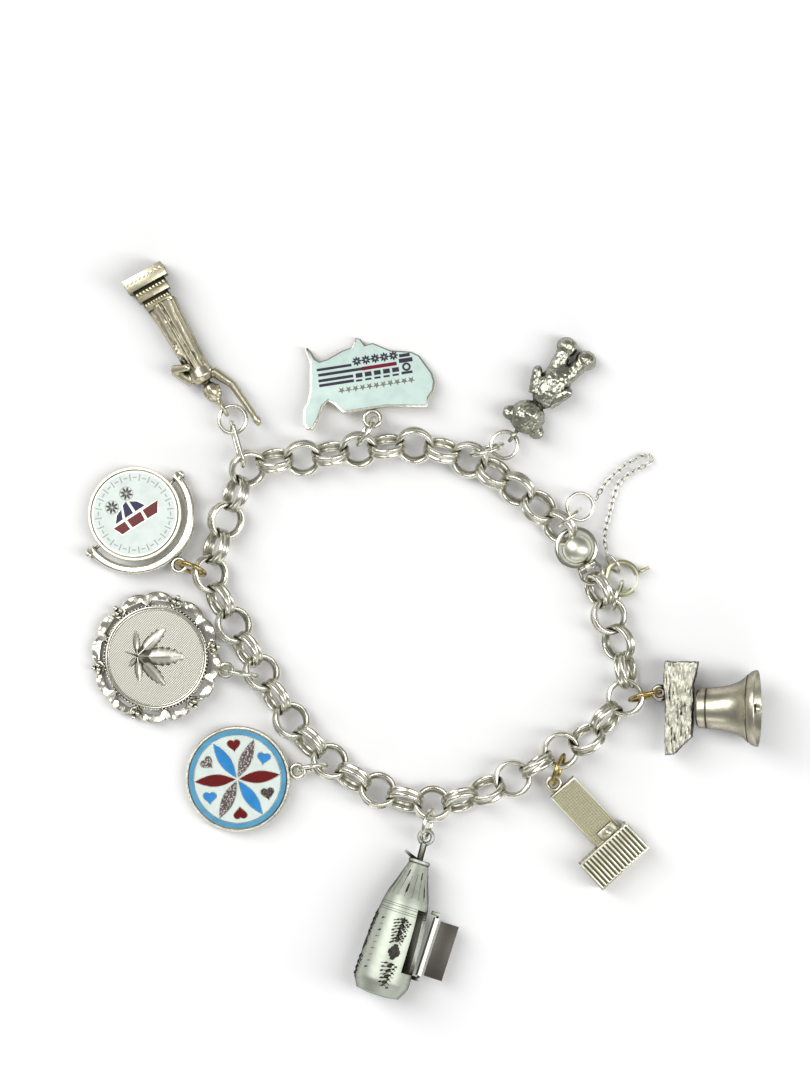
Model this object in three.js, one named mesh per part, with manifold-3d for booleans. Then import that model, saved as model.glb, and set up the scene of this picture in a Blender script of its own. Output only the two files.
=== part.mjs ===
// A charm bracelet lying on a surface: a chain of double links, a domed clasp with its
// safety chain, and nine charms on jump rings. Millimetres, +Z up, +Y away from the viewer.
import * as THREE from 'three'
import { mergeVertices } from 'three/addons/utils/BufferGeometryUtils.js'
import Module from 'manifold-3d'

const wasm = await Module()
wasm.setup()

// Chain: each link is a pair of wire rings side by side, faceted with ten sides.
const LINK_SIDES = 10
const WIRE_SIDES = 5
const BAIL_SIDES = 8
const LINK_RADIUS = 2.65 // from the middle of a link to the middle of its wire
const LINK_WIRE = 0.4 // half the wire's thickness
const PAIR_OFFSET = 0.5 // from the middle of a link to the plane of each ring
const PAIR_WAIST = 0.12 // height of the groove between the two rings over the wire's middle
const SOLDER_BITE = 0.05 // how far neighbouring links are pressed into each other
const LINK_COUNT = 41
const LOWER_LINKS = 21 // links in the first of the chain's two lengths
const LOOSE_GAP = 0.15 // air between pieces that hang loosely in each other
const SEAT_GAP = 0.3 // air between pieces that are fixed together
const FLAT_LEAN = 28 // lean of the links that charms hang from, in degrees
const LINK_TURN = 90 // turn from each link to the next

// Clasp
const CLASP_RING = 3.0
const CLASP_WIRE = 0.38
const CLASP_DOME = 2.5
const CLASP_DOME_HEIGHT = 1.6
const CLASP_DOME_AT = 0.12 // the dome sits this far towards the hinge
const CLASP_NOTCH = [1.15, 1.7, 1.75] // depth, half width and height of the last link's way in
const CLASP_PLATE = 0.4
const STAPLE_RADIUS = 1.7
const STAPLE_WIRE = 0.33
const LINK_EASE = 0.38 // how far the end links stand clear of the clasp's bends
const HINGE_PIN = 0.22
const HINGE_KNUCKLE = 0.62
const HINGE_CLEARANCE = 0.18
const KNUCKLE_WIDTH = 0.7

// Safety chain and its spring ring
const SAFETY_CHAIN = 0.52 // half the thickness of the fine chain
const SPRING_RING = 2.46
const SPRING_TUBE = 0.5
const SPRING_BORE = 0.34
const SPRING_PIN = 0.13
const SPRING_HEIGHT = 1.25
const SPRING_MOUTH = [-45, 12] // the open part of the ring, in degrees
const SPRING_TRAVEL = 45
const SMALL_WIRE = 0.27 // half the wire of the small rings at the safety chain's ends
const ANCHOR_RADIUS = 2.1
const ANCHOR_TAUT = 0.82 // the anchor rings lie slacker than the charms' rings
const END_RING_RADIUS = 1.55

// Jump rings and bails
const JUMP_WIRE = 0.33
const JUMP_RADIUS = 2.4
const BAIL_WIRE = 0.33
const BAIL_RADIUS = 1.02
const TAUT = 0.95 // a ring is pulled almost straight between what it joins
const HOLD = 1.0 // from the middle of a link to a jump ring's wire

// Charms
const DISC_SIDES = 20
const HEX_RADIUS = 8.15
const HEX_THICK = 1.3
const HEX_RIM = 0.45
const ENAMEL_THICK = 0.25
const ENAMEL_SINK = 0.4
const LEAF_RADIUS = 8.0
const LEAF_THICK = 1.5
const LEAF_FRAME = 10.3
const LEAF_RIM = 0.5
const LEAF_SINK = 0.35
const LEAF_BEAD = 0.85
const SPINNER_RADIUS = 7.25
const SPINNER_THICK = 1.5
const SPINNER_CLEARANCE = 0.75 // between the disc and the half ring round it
const SPINNER_BAND = 1.3
const SPINNER_PAST_PIVOT = 4 // degrees that the half ring goes on past each pivot
const SPINNER_FRAME_THICK = 1.3
const SPINNER_PIVOT = 0.25
const MAP_WIDTH = 20
const MAP_THICK = 0.9
const MAP_RIM = 0.3
const MAP_BAIL_RADIUS = 1.25
const STATUE_LENGTH = 24.8
const STATUE_WIDTH = 6.6
const BEAR_LENGTH = 17.6
const BELL_MOUTH = 5.9
const BELL_LENGTH = 9.5
const BELL_WALL = 0.7
const BELL_FROM_BAIL = 5.6
const YOKE_WIDTH = 14.6
const YOKE_THICK = 2.4
const TOWER_LENGTH = 10.6
const TOWER_WIDTH = 4.9
const TOWER_THICK = 2.4
const HALL_WIDTH = 9.7
const HALL_LENGTH = 5.2
const HALL_THICK = 4.4
const LODGE_RADIUS = 4.4
const LODGE_LENGTH = 22
const LODGE_WALL = 0.6
const FLAP_WIDTH = 3.7
const FLAP_THICK = 0.5
const FLAP_PIN = 0.18
const FLAP_BARREL = 0.55
const FLAP_EAR = 0.6 // thickness of the ears that hold the flap's pin
const LODGE_COLLAR = 1.75

// The chain's route, from the link beside the clasp's hinge round the wrist and back,
// as points picked by hand in millimetres. The last one is the clasp.
const ROUTE = [
  [27.8, 5.6], [30.8, -2.4], [32.2, -10.2], [29.3, -13.8], [26.5, -17.0], [22.4, -18.8],
  [14.8, -23.3], [8.1, -26.1], [3.8, -27.3], [-5.2, -25.5], [-12.7, -21.3], [-19.2, -14.7],
  [-23.9, -7.2], [-28.5, 0.7], [-31.9, 8.4], [-30.8, 12.5], [-29.3, 16.7], [-27.8, 20.7],
  [-25.8, 24.5], [-17.3, 25.9], [-8.7, 27.2], [-0.2, 27.8], [7.6, 25.8], [15.3, 21.1],
  [21.5, 15.6], [24.5, 11.9],
]
// How far the chain is twisted on itself, in degrees at some of its links.
const TWIST = [[0, 34], [1, 40], [4, -28], [7, 55], [9, 60], [11, 0], [36, 0], [38, 17], [40, 22]]

const metal = (color, roughness = 0.3) =>
  new THREE.MeshStandardMaterial({ color, roughness, metalness: 1 })
const SILVER = metal(0xd9d6cc)
const BRIGHT = metal(0xe6e4da, 0.2)
const DARK = metal(0x8d8c82, 0.4)
const BRASS = metal(0xa98f56)
const ENAMEL = new THREE.MeshStandardMaterial({ color: 0xe2f0ea, roughness: 0.25, metalness: 0 })

const bracelet = new THREE.Group()
const rad = THREE.MathUtils.degToRad
const v = (x, y, z = 0) => new THREE.Vector3(x, y, z)
const UP = v(0, 0, 1)

// Solids: a closed three.js geometry as a manifold, and back.
function solid(geometry) {
  const bare = geometry.clone()
  for (const name of ['normal', 'uv']) bare.deleteAttribute(name)
  const merged = mergeVertices(bare, 1e-5)
  return new wasm.Manifold(new wasm.Mesh({
    numProp: 3,
    vertProperties: new Float32Array(merged.attributes.position.array),
    triVerts: new Uint32Array(merged.index.array),
  }))
}

function join(...geometries) {
  return wasm.Manifold.union(geometries.map(solid))
}

function addMesh(parent, name, body, material) {
  const data = body.getMesh()
  const geometry = new THREE.BufferGeometry()
  geometry.setAttribute('position', new THREE.BufferAttribute(data.vertProperties, 3))
  geometry.setIndex(new THREE.BufferAttribute(data.triVerts, 1))
  geometry.computeVertexNormals()
  const mesh = new THREE.Mesh(geometry, material)
  mesh.name = name
  parent.add(mesh)
  return mesh
}

// Simple forms, each placed where it is wanted.
const box = (x, y, z, at) => new THREE.BoxGeometry(x, y, z).translate(at.x, at.y, at.z)

function ball(at, [rx, ry, rz], across = 8, down = 6) {
  const geometry = new THREE.SphereGeometry(1, across, down)
  return geometry.scale(rx, ry, rz).translate(at.x, at.y, at.z)
}

function rod(from, to, r0, r1 = r0, sides = 6) {
  const along = to.clone().sub(from)
  const geometry = new THREE.CylinderGeometry(r1, r0, along.length(), sides)
  geometry.applyQuaternion(new THREE.Quaternion().setFromUnitVectors(v(0, 1), along.normalize()))
  const middle = from.clone().add(to).multiplyScalar(0.5)
  return geometry.translate(middle.x, middle.y, middle.z)
}

function plate(points, thick, z = 0) {
  const shape = new THREE.Shape(points.map(([x, y]) => new THREE.Vector2(x, y)))
  return new THREE.ExtrudeGeometry(shape, { depth: thick, bevelEnabled: false }).translate(0, 0, z)
}

// A turned form about X: rows of [distance along X, radius], from the axis back to the axis.
function turned(rows, sides, at = v(0, 0, 0)) {
  const profile = rows.map(([x, r]) => new THREE.Vector2(r, x))
  const geometry = new THREE.LatheGeometry(profile, sides)
  return geometry.rotateZ(-Math.PI / 2).translate(at.x, at.y, at.z)
}

// A flat round dish about Z: rows of [radius, height], from the axis back to the axis.
function dish(rows, sides, at = v(0, 0, 0)) {
  const profile = rows.map(([r, z]) => new THREE.Vector2(r, z))
  const geometry = new THREE.LatheGeometry(profile, sides)
  return geometry.rotateX(Math.PI / 2).translate(at.x, at.y, at.z)
}

const polar = (radius, degrees, centre = [0, 0]) => [
  centre[0] + radius * Math.cos(rad(degrees)),
  centre[1] + radius * Math.sin(rad(degrees)),
]

// A faceted ring is widened so that its flats and corners lie either side of the true round.
const FACET_FIT = (1 + 1 / Math.cos(Math.PI / LINK_SIDES)) / 2

// A wire ring about an axis, its flats at the ends of the across direction.
function ring(centre, axis, across, radius, wire, stretch = 0, turns = LINK_SIDES) {
  const geometry = new THREE.TorusGeometry(radius * FACET_FIT, wire, WIRE_SIDES, turns)
  geometry.rotateZ(Math.PI / turns)
  const spots = geometry.attributes.position
  for (let i = 0; i < spots.count; i++) {
    spots.setX(i, spots.getX(i) + Math.sign(spots.getX(i)) * stretch)
  }
  const x = across.clone().addScaledVector(axis, -across.dot(axis)).normalize()
  const y = axis.clone().cross(x)
  return geometry.applyMatrix4(new THREE.Matrix4().makeBasis(x, y, axis).setPosition(centre))
}

// The ring that passes through two points, turned about the line between them by a roll
// from the vertical, and stretched along that line where it is an oval one.
function threaded(from, to, radius, wire, roll, stretch = 0) {
  const chord = to.clone().sub(from)
  const half = chord.length() / 2 - stretch
  chord.normalize()
  const side = chord.clone().cross(UP).normalize()
  const lift = side.clone().cross(chord).multiplyScalar(Math.cos(rad(roll)))
  lift.addScaledVector(side, Math.sin(rad(roll)))
  const rise = Math.sqrt(Math.max(0, radius * radius - half * half))
  const centre = from.clone().add(to).multiplyScalar(0.5).addScaledVector(lift, rise)
  return ring(centre, chord.clone().cross(lift), chord, radius, wire, stretch)
}

// Chain
const INNER_FLAT = (LINK_RADIUS - LINK_WIRE) * Math.cos(Math.PI / LINK_SIDES)
const PITCH = 2 * INNER_FLAT + SOLDER_BITE
const MEETING = PITCH - SOLDER_BITE - LOOSE_GAP // pitch where the two lengths meet
const CHAIN_HEIGHT = LINK_RADIUS + LINK_WIRE
// The chain's end links go round the clasp's ring and its staple.
const CLASP_TO_LAST = CLASP_RING - CLASP_WIRE - LOOSE_GAP - LINK_EASE + INNER_FLAT
const STAPLE_AT = CLASP_RING + STAPLE_RADIUS - STAPLE_WIRE
const CLASP_TO_FIRST = STAPLE_AT + LINK_EASE + INNER_FLAT + LINK_WIRE
const LOOP_LENGTH = (LINK_COUNT - 2) * PITCH + MEETING + CLASP_TO_LAST + CLASP_TO_FIRST

function routeAt(scale) {
  const spots = ROUTE.map(([x, y]) => v(x * scale, y * scale))
  const curve = new THREE.CatmullRomCurve3(spots, true, 'centripetal')
  curve.arcLengthDivisions = 2000
  return curve
}
const route = routeAt(LOOP_LENGTH / routeAt(1).getLength())
const onRoute = (s) => route.getPointAt((((s / LOOP_LENGTH) % 1) + 1) % 1)

function twistAt(link) {
  const next = Math.max(1, TWIST.findIndex(([at]) => at >= link))
  const [a, from] = TWIST[next - 1]
  const [b, to] = TWIST[next]
  return from + ((to - from) * (link - a)) / (b - a)
}

// Place and directions of a link: along the chain, outward across it, and its own axis.
function linkFrame(link) {
  const s = link * PITCH - (link >= LOWER_LINKS ? PITCH - MEETING : 0)
  const along = onRoute(s + PITCH / 2).sub(onRoute(s - PITCH / 2)).normalize()
  const lean = rad(FLAT_LEAN + (link % 2) * LINK_TURN + twistAt(link))
  const across = v(-along.y, along.x).multiplyScalar(Math.cos(lean)).addScaledVector(UP, Math.sin(lean))
  const centre = onRoute(s).setZ(CHAIN_HEIGHT)
  return { centre, along, across, axis: along.clone().cross(across) }
}

function doubleLink(link) {
  const side = PAIR_OFFSET + LINK_WIRE
  const profile = [
    [LINK_RADIUS - LINK_WIRE, -PAIR_OFFSET], [LINK_RADIUS, -side],
    [LINK_RADIUS + LINK_WIRE, -PAIR_OFFSET], [LINK_RADIUS + PAIR_WAIST, 0],
    [LINK_RADIUS + LINK_WIRE, PAIR_OFFSET], [LINK_RADIUS, side],
    [LINK_RADIUS - LINK_WIRE, PAIR_OFFSET],
  ]
  profile.push(profile[0])
  const points = profile.map(([r, y]) => new THREE.Vector2(r, y))
  const geometry = new THREE.LatheGeometry(points, LINK_SIDES)
  const { centre, along, across, axis } = linkFrame(link)
  const basis = new THREE.Matrix4().makeBasis(along, axis, across.clone().negate())
  return geometry.applyMatrix4(basis.setPosition(centre))
}

function chain() {
  const links = Array.from({ length: LINK_COUNT }, (_, link) => doubleLink(link))
  addMesh(bracelet, 'chain_lower', join(...links.slice(0, LOWER_LINKS)), SILVER)
  addMesh(bracelet, 'chain_upper', join(...links.slice(LOWER_LINKS)), SILVER)
}

// Clasp: a ring with a staple for the first link, and a dome that snaps over the last one.
const claspFrame = new THREE.Group()
const CLASP_SPOT = onRoute(-CLASP_TO_FIRST).setZ(CHAIN_HEIGHT)
const CLASP_TURN = (() => {
  const first = linkFrame(0).centre
  const last = linkFrame(LINK_COUNT - 1).centre
  return Math.atan2(first.y - last.y, first.x - last.x)
})()
const HINGE_AT = CLASP_RING + CLASP_WIRE
const HINGE_HEIGHT = CLASP_WIRE + HINGE_KNUCKLE + LOOSE_GAP

function clasp() {
  claspFrame.position.copy(CLASP_SPOT)
  claspFrame.rotation.z = CLASP_TURN
  bracelet.add(claspFrame)
  const span = KNUCKLE_WIDTH + 2 * HINGE_CLEARANCE
  const onHinge = (y) => v(HINGE_AT, y, HINGE_HEIGHT)
  const pinHole = rod(onHinge(-2 * span), onHinge(2 * span), HINGE_PIN + HINGE_CLEARANCE)
  const knuckles = [-1, 1].flatMap((side) => {
    const y = side * (span / 2 + KNUCKLE_WIDTH / 2)
    return [
      rod(onHinge(y - KNUCKLE_WIDTH / 2), onHinge(y + KNUCKLE_WIDTH / 2), HINGE_KNUCKLE),
      box(2 * CLASP_WIRE, KNUCKLE_WIDTH, HINGE_HEIGHT, v(HINGE_AT - CLASP_WIRE / 2, y, HINGE_HEIGHT / 2)),
    ]
  })
  const base = join(
    ring(v(0, 0), UP, v(1, 0), CLASP_RING, CLASP_WIRE),
    ring(v(STAPLE_AT, 0), UP, v(1, 0), STAPLE_RADIUS, STAPLE_WIRE),
    ...knuckles,
  ).subtract(solid(pinHole))
  addMesh(claspFrame, 'clasp_base', base, BRIGHT)

  const plateBottom = CLASP_WIRE + SEAT_GAP
  const plateTop = plateBottom + CLASP_PLATE
  const dome = dish([
    [0, plateBottom], [CLASP_DOME, plateBottom], [CLASP_DOME, plateTop],
    [CLASP_DOME * 0.8, plateTop + CLASP_DOME_HEIGHT * 0.6], [0, plateTop + CLASP_DOME_HEIGHT],
  ], 12, v(CLASP_DOME_AT, 0))
  const [deep, wide, high] = CLASP_NOTCH
  const edge = CLASP_DOME_AT - CLASP_DOME
  const notch = box(2 * deep, 2 * wide, 2 * high, v(edge, 0, 0))
  const armMiddle = v((HINGE_AT + CLASP_DOME_AT) / 2, 0, (plateBottom + plateTop) / 2)
  const lid = join(
    dome,
    box(HINGE_AT - CLASP_DOME_AT, KNUCKLE_WIDTH, CLASP_PLATE, armMiddle),
    rod(onHinge(-KNUCKLE_WIDTH / 2), onHinge(KNUCKLE_WIDTH / 2), HINGE_KNUCKLE),
  ).subtract(solid(pinHole)).subtract(solid(notch))
  addMesh(claspFrame, 'clasp_lid', lid, BRIGHT)
  const reach = span / 2 + KNUCKLE_WIDTH
  addMesh(claspFrame, 'clasp_pin', join(rod(onHinge(-reach), onHinge(reach), HINGE_PIN)), BRIGHT)
}

// A ring hung from a link: where its wire passes through the link, and the place that it
// reaches in a direction over the ground.
function hookOf({ link, hold = HOLD, slide = 0 }) {
  const { centre, along, across } = linkFrame(link)
  const outward = Math.abs(across.z) < 0.9 ? Math.sign(across.dot(v(-along.y, along.x))) : 1
  return centre.addScaledVector(across, hold * outward).addScaledVector(along, slide)
}

function reachFrom(point, swing, chord, height) {
  const flat = Math.sqrt(Math.max(0, chord * chord - (height - point.z) ** 2))
  return v(point.x + flat * Math.cos(rad(swing)), point.y + flat * Math.sin(rad(swing)), height)
}

// Stands a charm's own frame at its bail: X runs down the charm, Z faces the viewer, and the
// far end, at a length and a depth below the axis, comes down to the ground.
function charmFrame(at, heading, length, below) {
  const turn = new THREE.Group()
  turn.position.copy(at)
  turn.rotation.z = rad(heading)
  const lean = new THREE.Group()
  lean.rotation.y = Math.asin((at.z - below) / length)
  turn.add(lean)
  bracelet.add(turn)
  return lean
}

const bailAbout = (axis, radius) => ring(v(0, 0), axis, v(1, 0), radius, BAIL_WIRE, 0, BAIL_SIDES)
const bailFlat = (radius = BAIL_RADIUS) => bailAbout(UP, radius)
const bailUpright = (radius = BAIL_RADIUS) => bailAbout(v(0, 1), radius)

// A jump ring from a link to a charm, and the place of the charm's bail.
function hang(name, spec, material = SILVER) {
  const { swing, height, roll, radius = JUMP_RADIUS } = spec
  const from = hookOf(spec)
  const to = reachFrom(from, swing, 2 * radius * TAUT, height)
  addMesh(bracelet, name, join(threaded(from, to, radius, JUMP_WIRE, roll)), material)
  return to
}

// Two rings between a link and a charm: the second, flat one passes through the first.
function hangTwice(names, first, second) {
  const from = hookOf(first)
  const wire = JUMP_WIRE
  const chord = 2 * (first.radius + (first.stretch ?? 0)) * TAUT
  const far = reachFrom(from, first.swing, chord, first.height)
  const near = reachFrom(from, first.swing, chord - 2 * wire - 5 * LOOSE_GAP, first.height + LOOSE_GAP)
  const to = reachFrom(near, second.swing, 2 * second.radius * TAUT, second.height)
  const chainRing = threaded(from, far, first.radius, wire, first.roll, first.stretch)
  addMesh(bracelet, names[0], join(chainRing), SILVER)
  addMesh(bracelet, names[1], join(threaded(near, to, second.radius, wire, second.roll)), SILVER)
  return to
}

// The enamel in a round tray, from a height up.
function enamelFace(trayRadius, field, centre) {
  const edge = trayRadius - LOOSE_GAP
  const top = field + ENAMEL_THICK
  return dish([[0, field], [edge, field], [edge, top], [0, top]], DISC_SIDES, v(centre, 0))
}

function hexCharm() {
  const at = hang('hex_jump_ring', { link: 16, swing: -169, height: 2.8, roll: 10 })
  const centre = BAIL_RADIUS + BAIL_WIRE / 2 + HEX_RADIUS
  const half = HEX_THICK / 2
  const frame = charmFrame(at, 187.7, centre + HEX_RADIUS, half)
  const inner = HEX_RADIUS - HEX_RIM
  const tray = dish([
    [0, -half], [HEX_RADIUS, -half], [HEX_RADIUS, half],
    [inner, half], [inner, half - ENAMEL_SINK], [0, half - ENAMEL_SINK],
  ], DISC_SIDES, v(centre, 0))
  addMesh(frame, 'hex_disc', join(tray, bailFlat()), SILVER)
  const field = half - ENAMEL_SINK + LOOSE_GAP
  addMesh(frame, 'hex_enamel', join(enamelFace(inner, field, centre)), ENAMEL)
}

// The leaf medallion's frame: six bead clusters with two pierced scallops between each pair.
const LEAF_CLUSTERS = 6
const LEAF_FIRST_CLUSTER = 20
// The frame's edge from one cluster to the next: [degrees, how far inside the frame's radius].
const LEAF_SCALLOPS = [[0, LEAF_BEAD], [10, 1.35], [20, 0], [30, 1.35], [40, 0], [50, 1.35]]

function leafMedal() {
  const at = hang('leaf_jump_ring', { link: 20, swing: 171, height: 2.8, roll: 0, radius: 2.55 })
  const centre = [BAIL_RADIUS + BAIL_WIRE / 2 + LEAF_FRAME - 0.5, 0]
  const frame = charmFrame(at, 169.6, centre[0] + LEAF_FRAME, LEAF_THICK / 2)
  const step = 360 / LEAF_CLUSTERS
  const bulge = LEAF_FRAME - LEAF_BEAD
  const outline = []
  const holes = []
  for (let i = 0; i < LEAF_CLUSTERS; i++) {
    const start = LEAF_FIRST_CLUSTER + i * step
    for (const [turn, inward] of LEAF_SCALLOPS) {
      outline.push(polar(LEAF_FRAME - inward, start + turn, centre))
    }
    for (const turn of [19, 41]) {
      const hole = [[-6, 0.35], [-4, 1.25], [4, 1.25], [6, 0.35]]
      holes.push(hole.map(([offset, out]) => polar(LEAF_RADIUS + out, start + turn + offset, centre)))
    }
  }
  const shape = new THREE.Shape(outline.map(([x, y]) => new THREE.Vector2(x, y)))
  shape.holes = holes.map((hole) => new THREE.Path(hole.map(([x, y]) => new THREE.Vector2(x, y))))
  const lace = new THREE.ExtrudeGeometry(shape, { depth: LEAF_THICK - LEAF_SINK, bevelEnabled: false })
  lace.translate(0, 0, -LEAF_THICK / 2)
  const top = LEAF_THICK / 2
  const face = top - LEAF_SINK
  const rim = dish([
    [LEAF_RADIUS, face - 0.2], [LEAF_RADIUS, top], [LEAF_RADIUS - LEAF_RIM, top],
    [LEAF_RADIUS - LEAF_RIM, face - 0.2], [LEAF_RADIUS, face - 0.2],
  ], 18, v(...centre))
  const beads = Array.from({ length: LEAF_CLUSTERS }, (_, i) => {
    const [x, y] = polar(bulge, LEAF_FIRST_CLUSTER + i * step, centre)
    return ball(v(x, y, face), [LEAF_BEAD, LEAF_BEAD, LEAF_BEAD * 0.7], 5, 3)
  })
  addMesh(frame, 'leaf_medal', join(lace, rim, bailFlat(), ...beads, leaf(centre, face)), SILVER)
}

// Seven leaflets spread from the leaf's foot: [degrees, length, half width in degrees].
const LEAFLETS = [
  [180, 7.2, 13], [142, 5.8, 12], [104, 4.2, 14], [60, 2.6, 18], [0, 2.6, 18],
  [-104, 4.2, 14], [-142, 5.8, 12],
]
const LEAF_RELIEF = 0.35

function leaf(centre, z) {
  const foot = [centre[0] + 2.8, centre[1] + 0.3]
  const outline = []
  for (const [turn, length, spread] of LEAFLETS) {
    outline.push(polar(1, turn + spread + 6, foot), polar(length * 0.55, turn + spread, foot))
    outline.push(polar(length, turn, foot), polar(length * 0.55, turn - spread, foot))
  }
  return plate(outline.reverse(), 2 * LEAF_RELIEF, z - LEAF_RELIEF)
}

// The spinner: a disc between two pivots in a half ring. The pivots lie on a line across it.
const SPINNER_FRAME_IN = SPINNER_RADIUS + SPINNER_CLEARANCE
const SPINNER_FRAME_OUT = SPINNER_FRAME_IN + SPINNER_BAND
const spinnerAt = {
  centre: SPINNER_FRAME_OUT + BAIL_RADIUS + BAIL_WIRE / 2,
  pivot: SPINNER_FRAME_IN + SPINNER_BAND / 2,
}

function spinner() {
  const at = hang('spinner_jump_ring', { link: 24, swing: 160, height: 3, roll: 15, radius: 2.2 }, BRASS)
  const { centre, pivot } = spinnerAt
  const half = SPINNER_FRAME_THICK / 2
  const frame = charmFrame(at, 131.1, centre + SPINNER_RADIUS, SPINNER_THICK / 2)
  const steps = 12
  const arc = (radius, from, to) => Array.from({ length: steps + 1 }, (_, i) =>
    polar(radius, from + ((to - from) * i) / steps, [centre, 0]))
  const [start, end] = [90 - SPINNER_PAST_PIVOT, 270 + SPINNER_PAST_PIVOT]
  const edges = [...arc(SPINNER_FRAME_OUT, start, end), ...arc(SPINNER_FRAME_IN, end, start)]
  const band = plate(edges, SPINNER_FRAME_THICK, -half)
  const pins = [-1, 1].flatMap((side) => [
    rod(v(centre, side * pivot), v(centre, side * (SPINNER_RADIUS - 0.5)), SPINNER_PIVOT),
    ball(v(centre, side * (SPINNER_FRAME_OUT + 0.1)), [0.75, 0.6, 0.75], 6, 4),
  ])
  addMesh(frame, 'spinner_frame', join(band, bailFlat(), ...pins), SILVER)

  const thick = SPINNER_THICK / 2
  const inner = SPINNER_RADIUS - HEX_RIM
  const disc = dish([
    [0, -thick], [SPINNER_RADIUS, -thick], [SPINNER_RADIUS, thick],
    [inner, thick], [inner, thick - ENAMEL_SINK], [0, thick - ENAMEL_SINK],
  ], DISC_SIDES, v(centre, 0))
  const sockets = [-1, 1].map((side) =>
    rod(v(centre, side * pivot), v(centre, side * (SPINNER_RADIUS - 0.9)), SPINNER_PIVOT + LOOSE_GAP))
  addMesh(frame, 'spinner_disc', join(disc).subtract(join(...sockets)), SILVER)
  const field = thick - ENAMEL_SINK + LOOSE_GAP
  addMesh(frame, 'spinner_enamel', join(enamelFace(inner, field, centre)), ENAMEL)
}

// Outline of the map as shares of its width: away from the bail, and to the left.
const MAP_OUTLINE = [
  [0.53, 0.52], [0.54, 0.5], [0.51, 0.47], [0.45, 0.44], [0.43, 0.41], [0.45, 0.35], [0.52, 0.23],
  [0.54, 0.17], [0.58, 0.14], [0.62, 0.13], [0.61, 0.09], [0.56, 0.06], [0.58, 0], [0.56, -0.05],
  [0.52, -0.14], [0.51, -0.3], [0.48, -0.36], [0.41, -0.41], [0.34, -0.46], [0.27, -0.48],
  [0.2, -0.47], [0.14, -0.43], [0.075, -0.42], [0.075, -0.1], [0.03, 0.18], [0.03, 0.23],
  [0.09, 0.29], [0.12, 0.34], [0.08, 0.38], [-0.03, 0.42], [-0.1, 0.46], [-0.1, 0.5], [-0.06, 0.53],
  [0.05, 0.53], [0.1, 0.5], [0.2, 0.48], [0.31, 0.48], [0.42, 0.48],
]

const MAP_EDGE = 0.059 // where the outline's near edge passes the bail, as such a share

function mapCharm() {
  const at = hang('map_jump_ring', { link: 32, swing: 60, height: 2.8, roll: 10 })
  const frame = charmFrame(at, 90, MAP_WIDTH * 0.6, MAP_THICK / 2)
  const edge = MAP_BAIL_RADIUS + BAIL_WIRE * 0.7 - MAP_EDGE * MAP_WIDTH
  const outline = MAP_OUTLINE.map(([x, y]) => [x * MAP_WIDTH + edge, y * MAP_WIDTH])
  const land = plate(outline, MAP_THICK, -MAP_THICK / 2)
  addMesh(frame, 'map_plate', join(land, bailFlat(MAP_BAIL_RADIUS)), SILVER)
  const inner = inset(outline, MAP_RIM)
  addMesh(frame, 'map_enamel', join(plate(inner, ENAMEL_THICK, MAP_THICK / 2 + LOOSE_GAP)), ENAMEL)
}

// An outline drawn in by a width, each corner along the mean of its two edges' normals.
function inset(points, width) {
  const count = points.length
  return points.map(([x, y], i) => {
    const [px, py] = points[(i + count - 1) % count]
    const [nx, ny] = points[(i + 1) % count]
    const tangent = new THREE.Vector2(nx - px, ny - py).normalize()
    return [x + tangent.y * -width, y + tangent.x * width]
  })
}

// The plinth's steps, as shares of the figure's length and width.
const PLINTH_STEPS = [
  [0.75, 0], [0.75, 0.6], [0.82, 0.6], [0.82, 0.75], [0.9, 0.75], [0.9, 0.92], [1, 0.92], [1, 0],
]

function statue() {
  const at = hangTwice(['statue_oval_link', 'statue_jump_ring'],
    { link: 28, slide: -0.3, swing: 106, height: 2.7, roll: 10, radius: 1.75, stretch: 1.75 },
    { swing: 112, height: 2.7, roll: 88, radius: 2.1 })
  const length = STATUE_LENGTH
  const frame = charmFrame(at, 119.4, length, STATUE_WIDTH * 0.4)
  const w = STATUE_WIDTH
  const robe = turned([
    [length * 0.2, 0], [length * 0.22, w * 0.3], [length * 0.4, w * 0.34], [length * 0.55, w * 0.28],
    [length * 0.76, w * 0.32], [length * 0.76, 0],
  ], 8, v(0, w * 0.06, 0))
  const head = ball(v(length * 0.13, w * 0.03), [1.5, 1.15, 1.25], 6, 5)
  const neck = rod(v(length * 0.15, w * 0.03), v(length * 0.22, w * 0.06), 0.7)
  const shoulder = v(length * 0.24, -w * 0.22)
  const elbow = v(length * 0.11, -w * 0.46, 0.2)
  const hand = v(-length * 0.16, -w * 0.55, 0.3)
  const left = v(length * 0.24, w * 0.32)
  const bend = v(length * 0.36, w * 0.56, 0.3)
  const wrist = v(length * 0.33, w * 0.26, w * 0.34)
  const plinth = turned(PLINTH_STEPS.map(([x, share]) => [x * length, share * w * Math.SQRT1_2]), 4)
  plinth.rotateX(Math.PI / 4).scale(1, 1, 0.8).translate(0, w * 0.1, 0)
  addMesh(frame, 'statue', join(
    robe, head, neck, bailUpright(1.0),
    rod(v(BAIL_WIRE + 0.7, 0), v(length * 0.1, w * 0.03), 0.55),
    rod(shoulder, elbow, 0.85, 0.65, 5), rod(elbow, hand, 0.65, 0.5, 5),
    ball(hand, [0.9, 0.75, 0.75], 5, 3),
    rod(left, bend, 0.9, 0.8, 5), rod(bend, wrist, 0.8, 0.55, 5), plinth,
  ), DARK)
}

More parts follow.
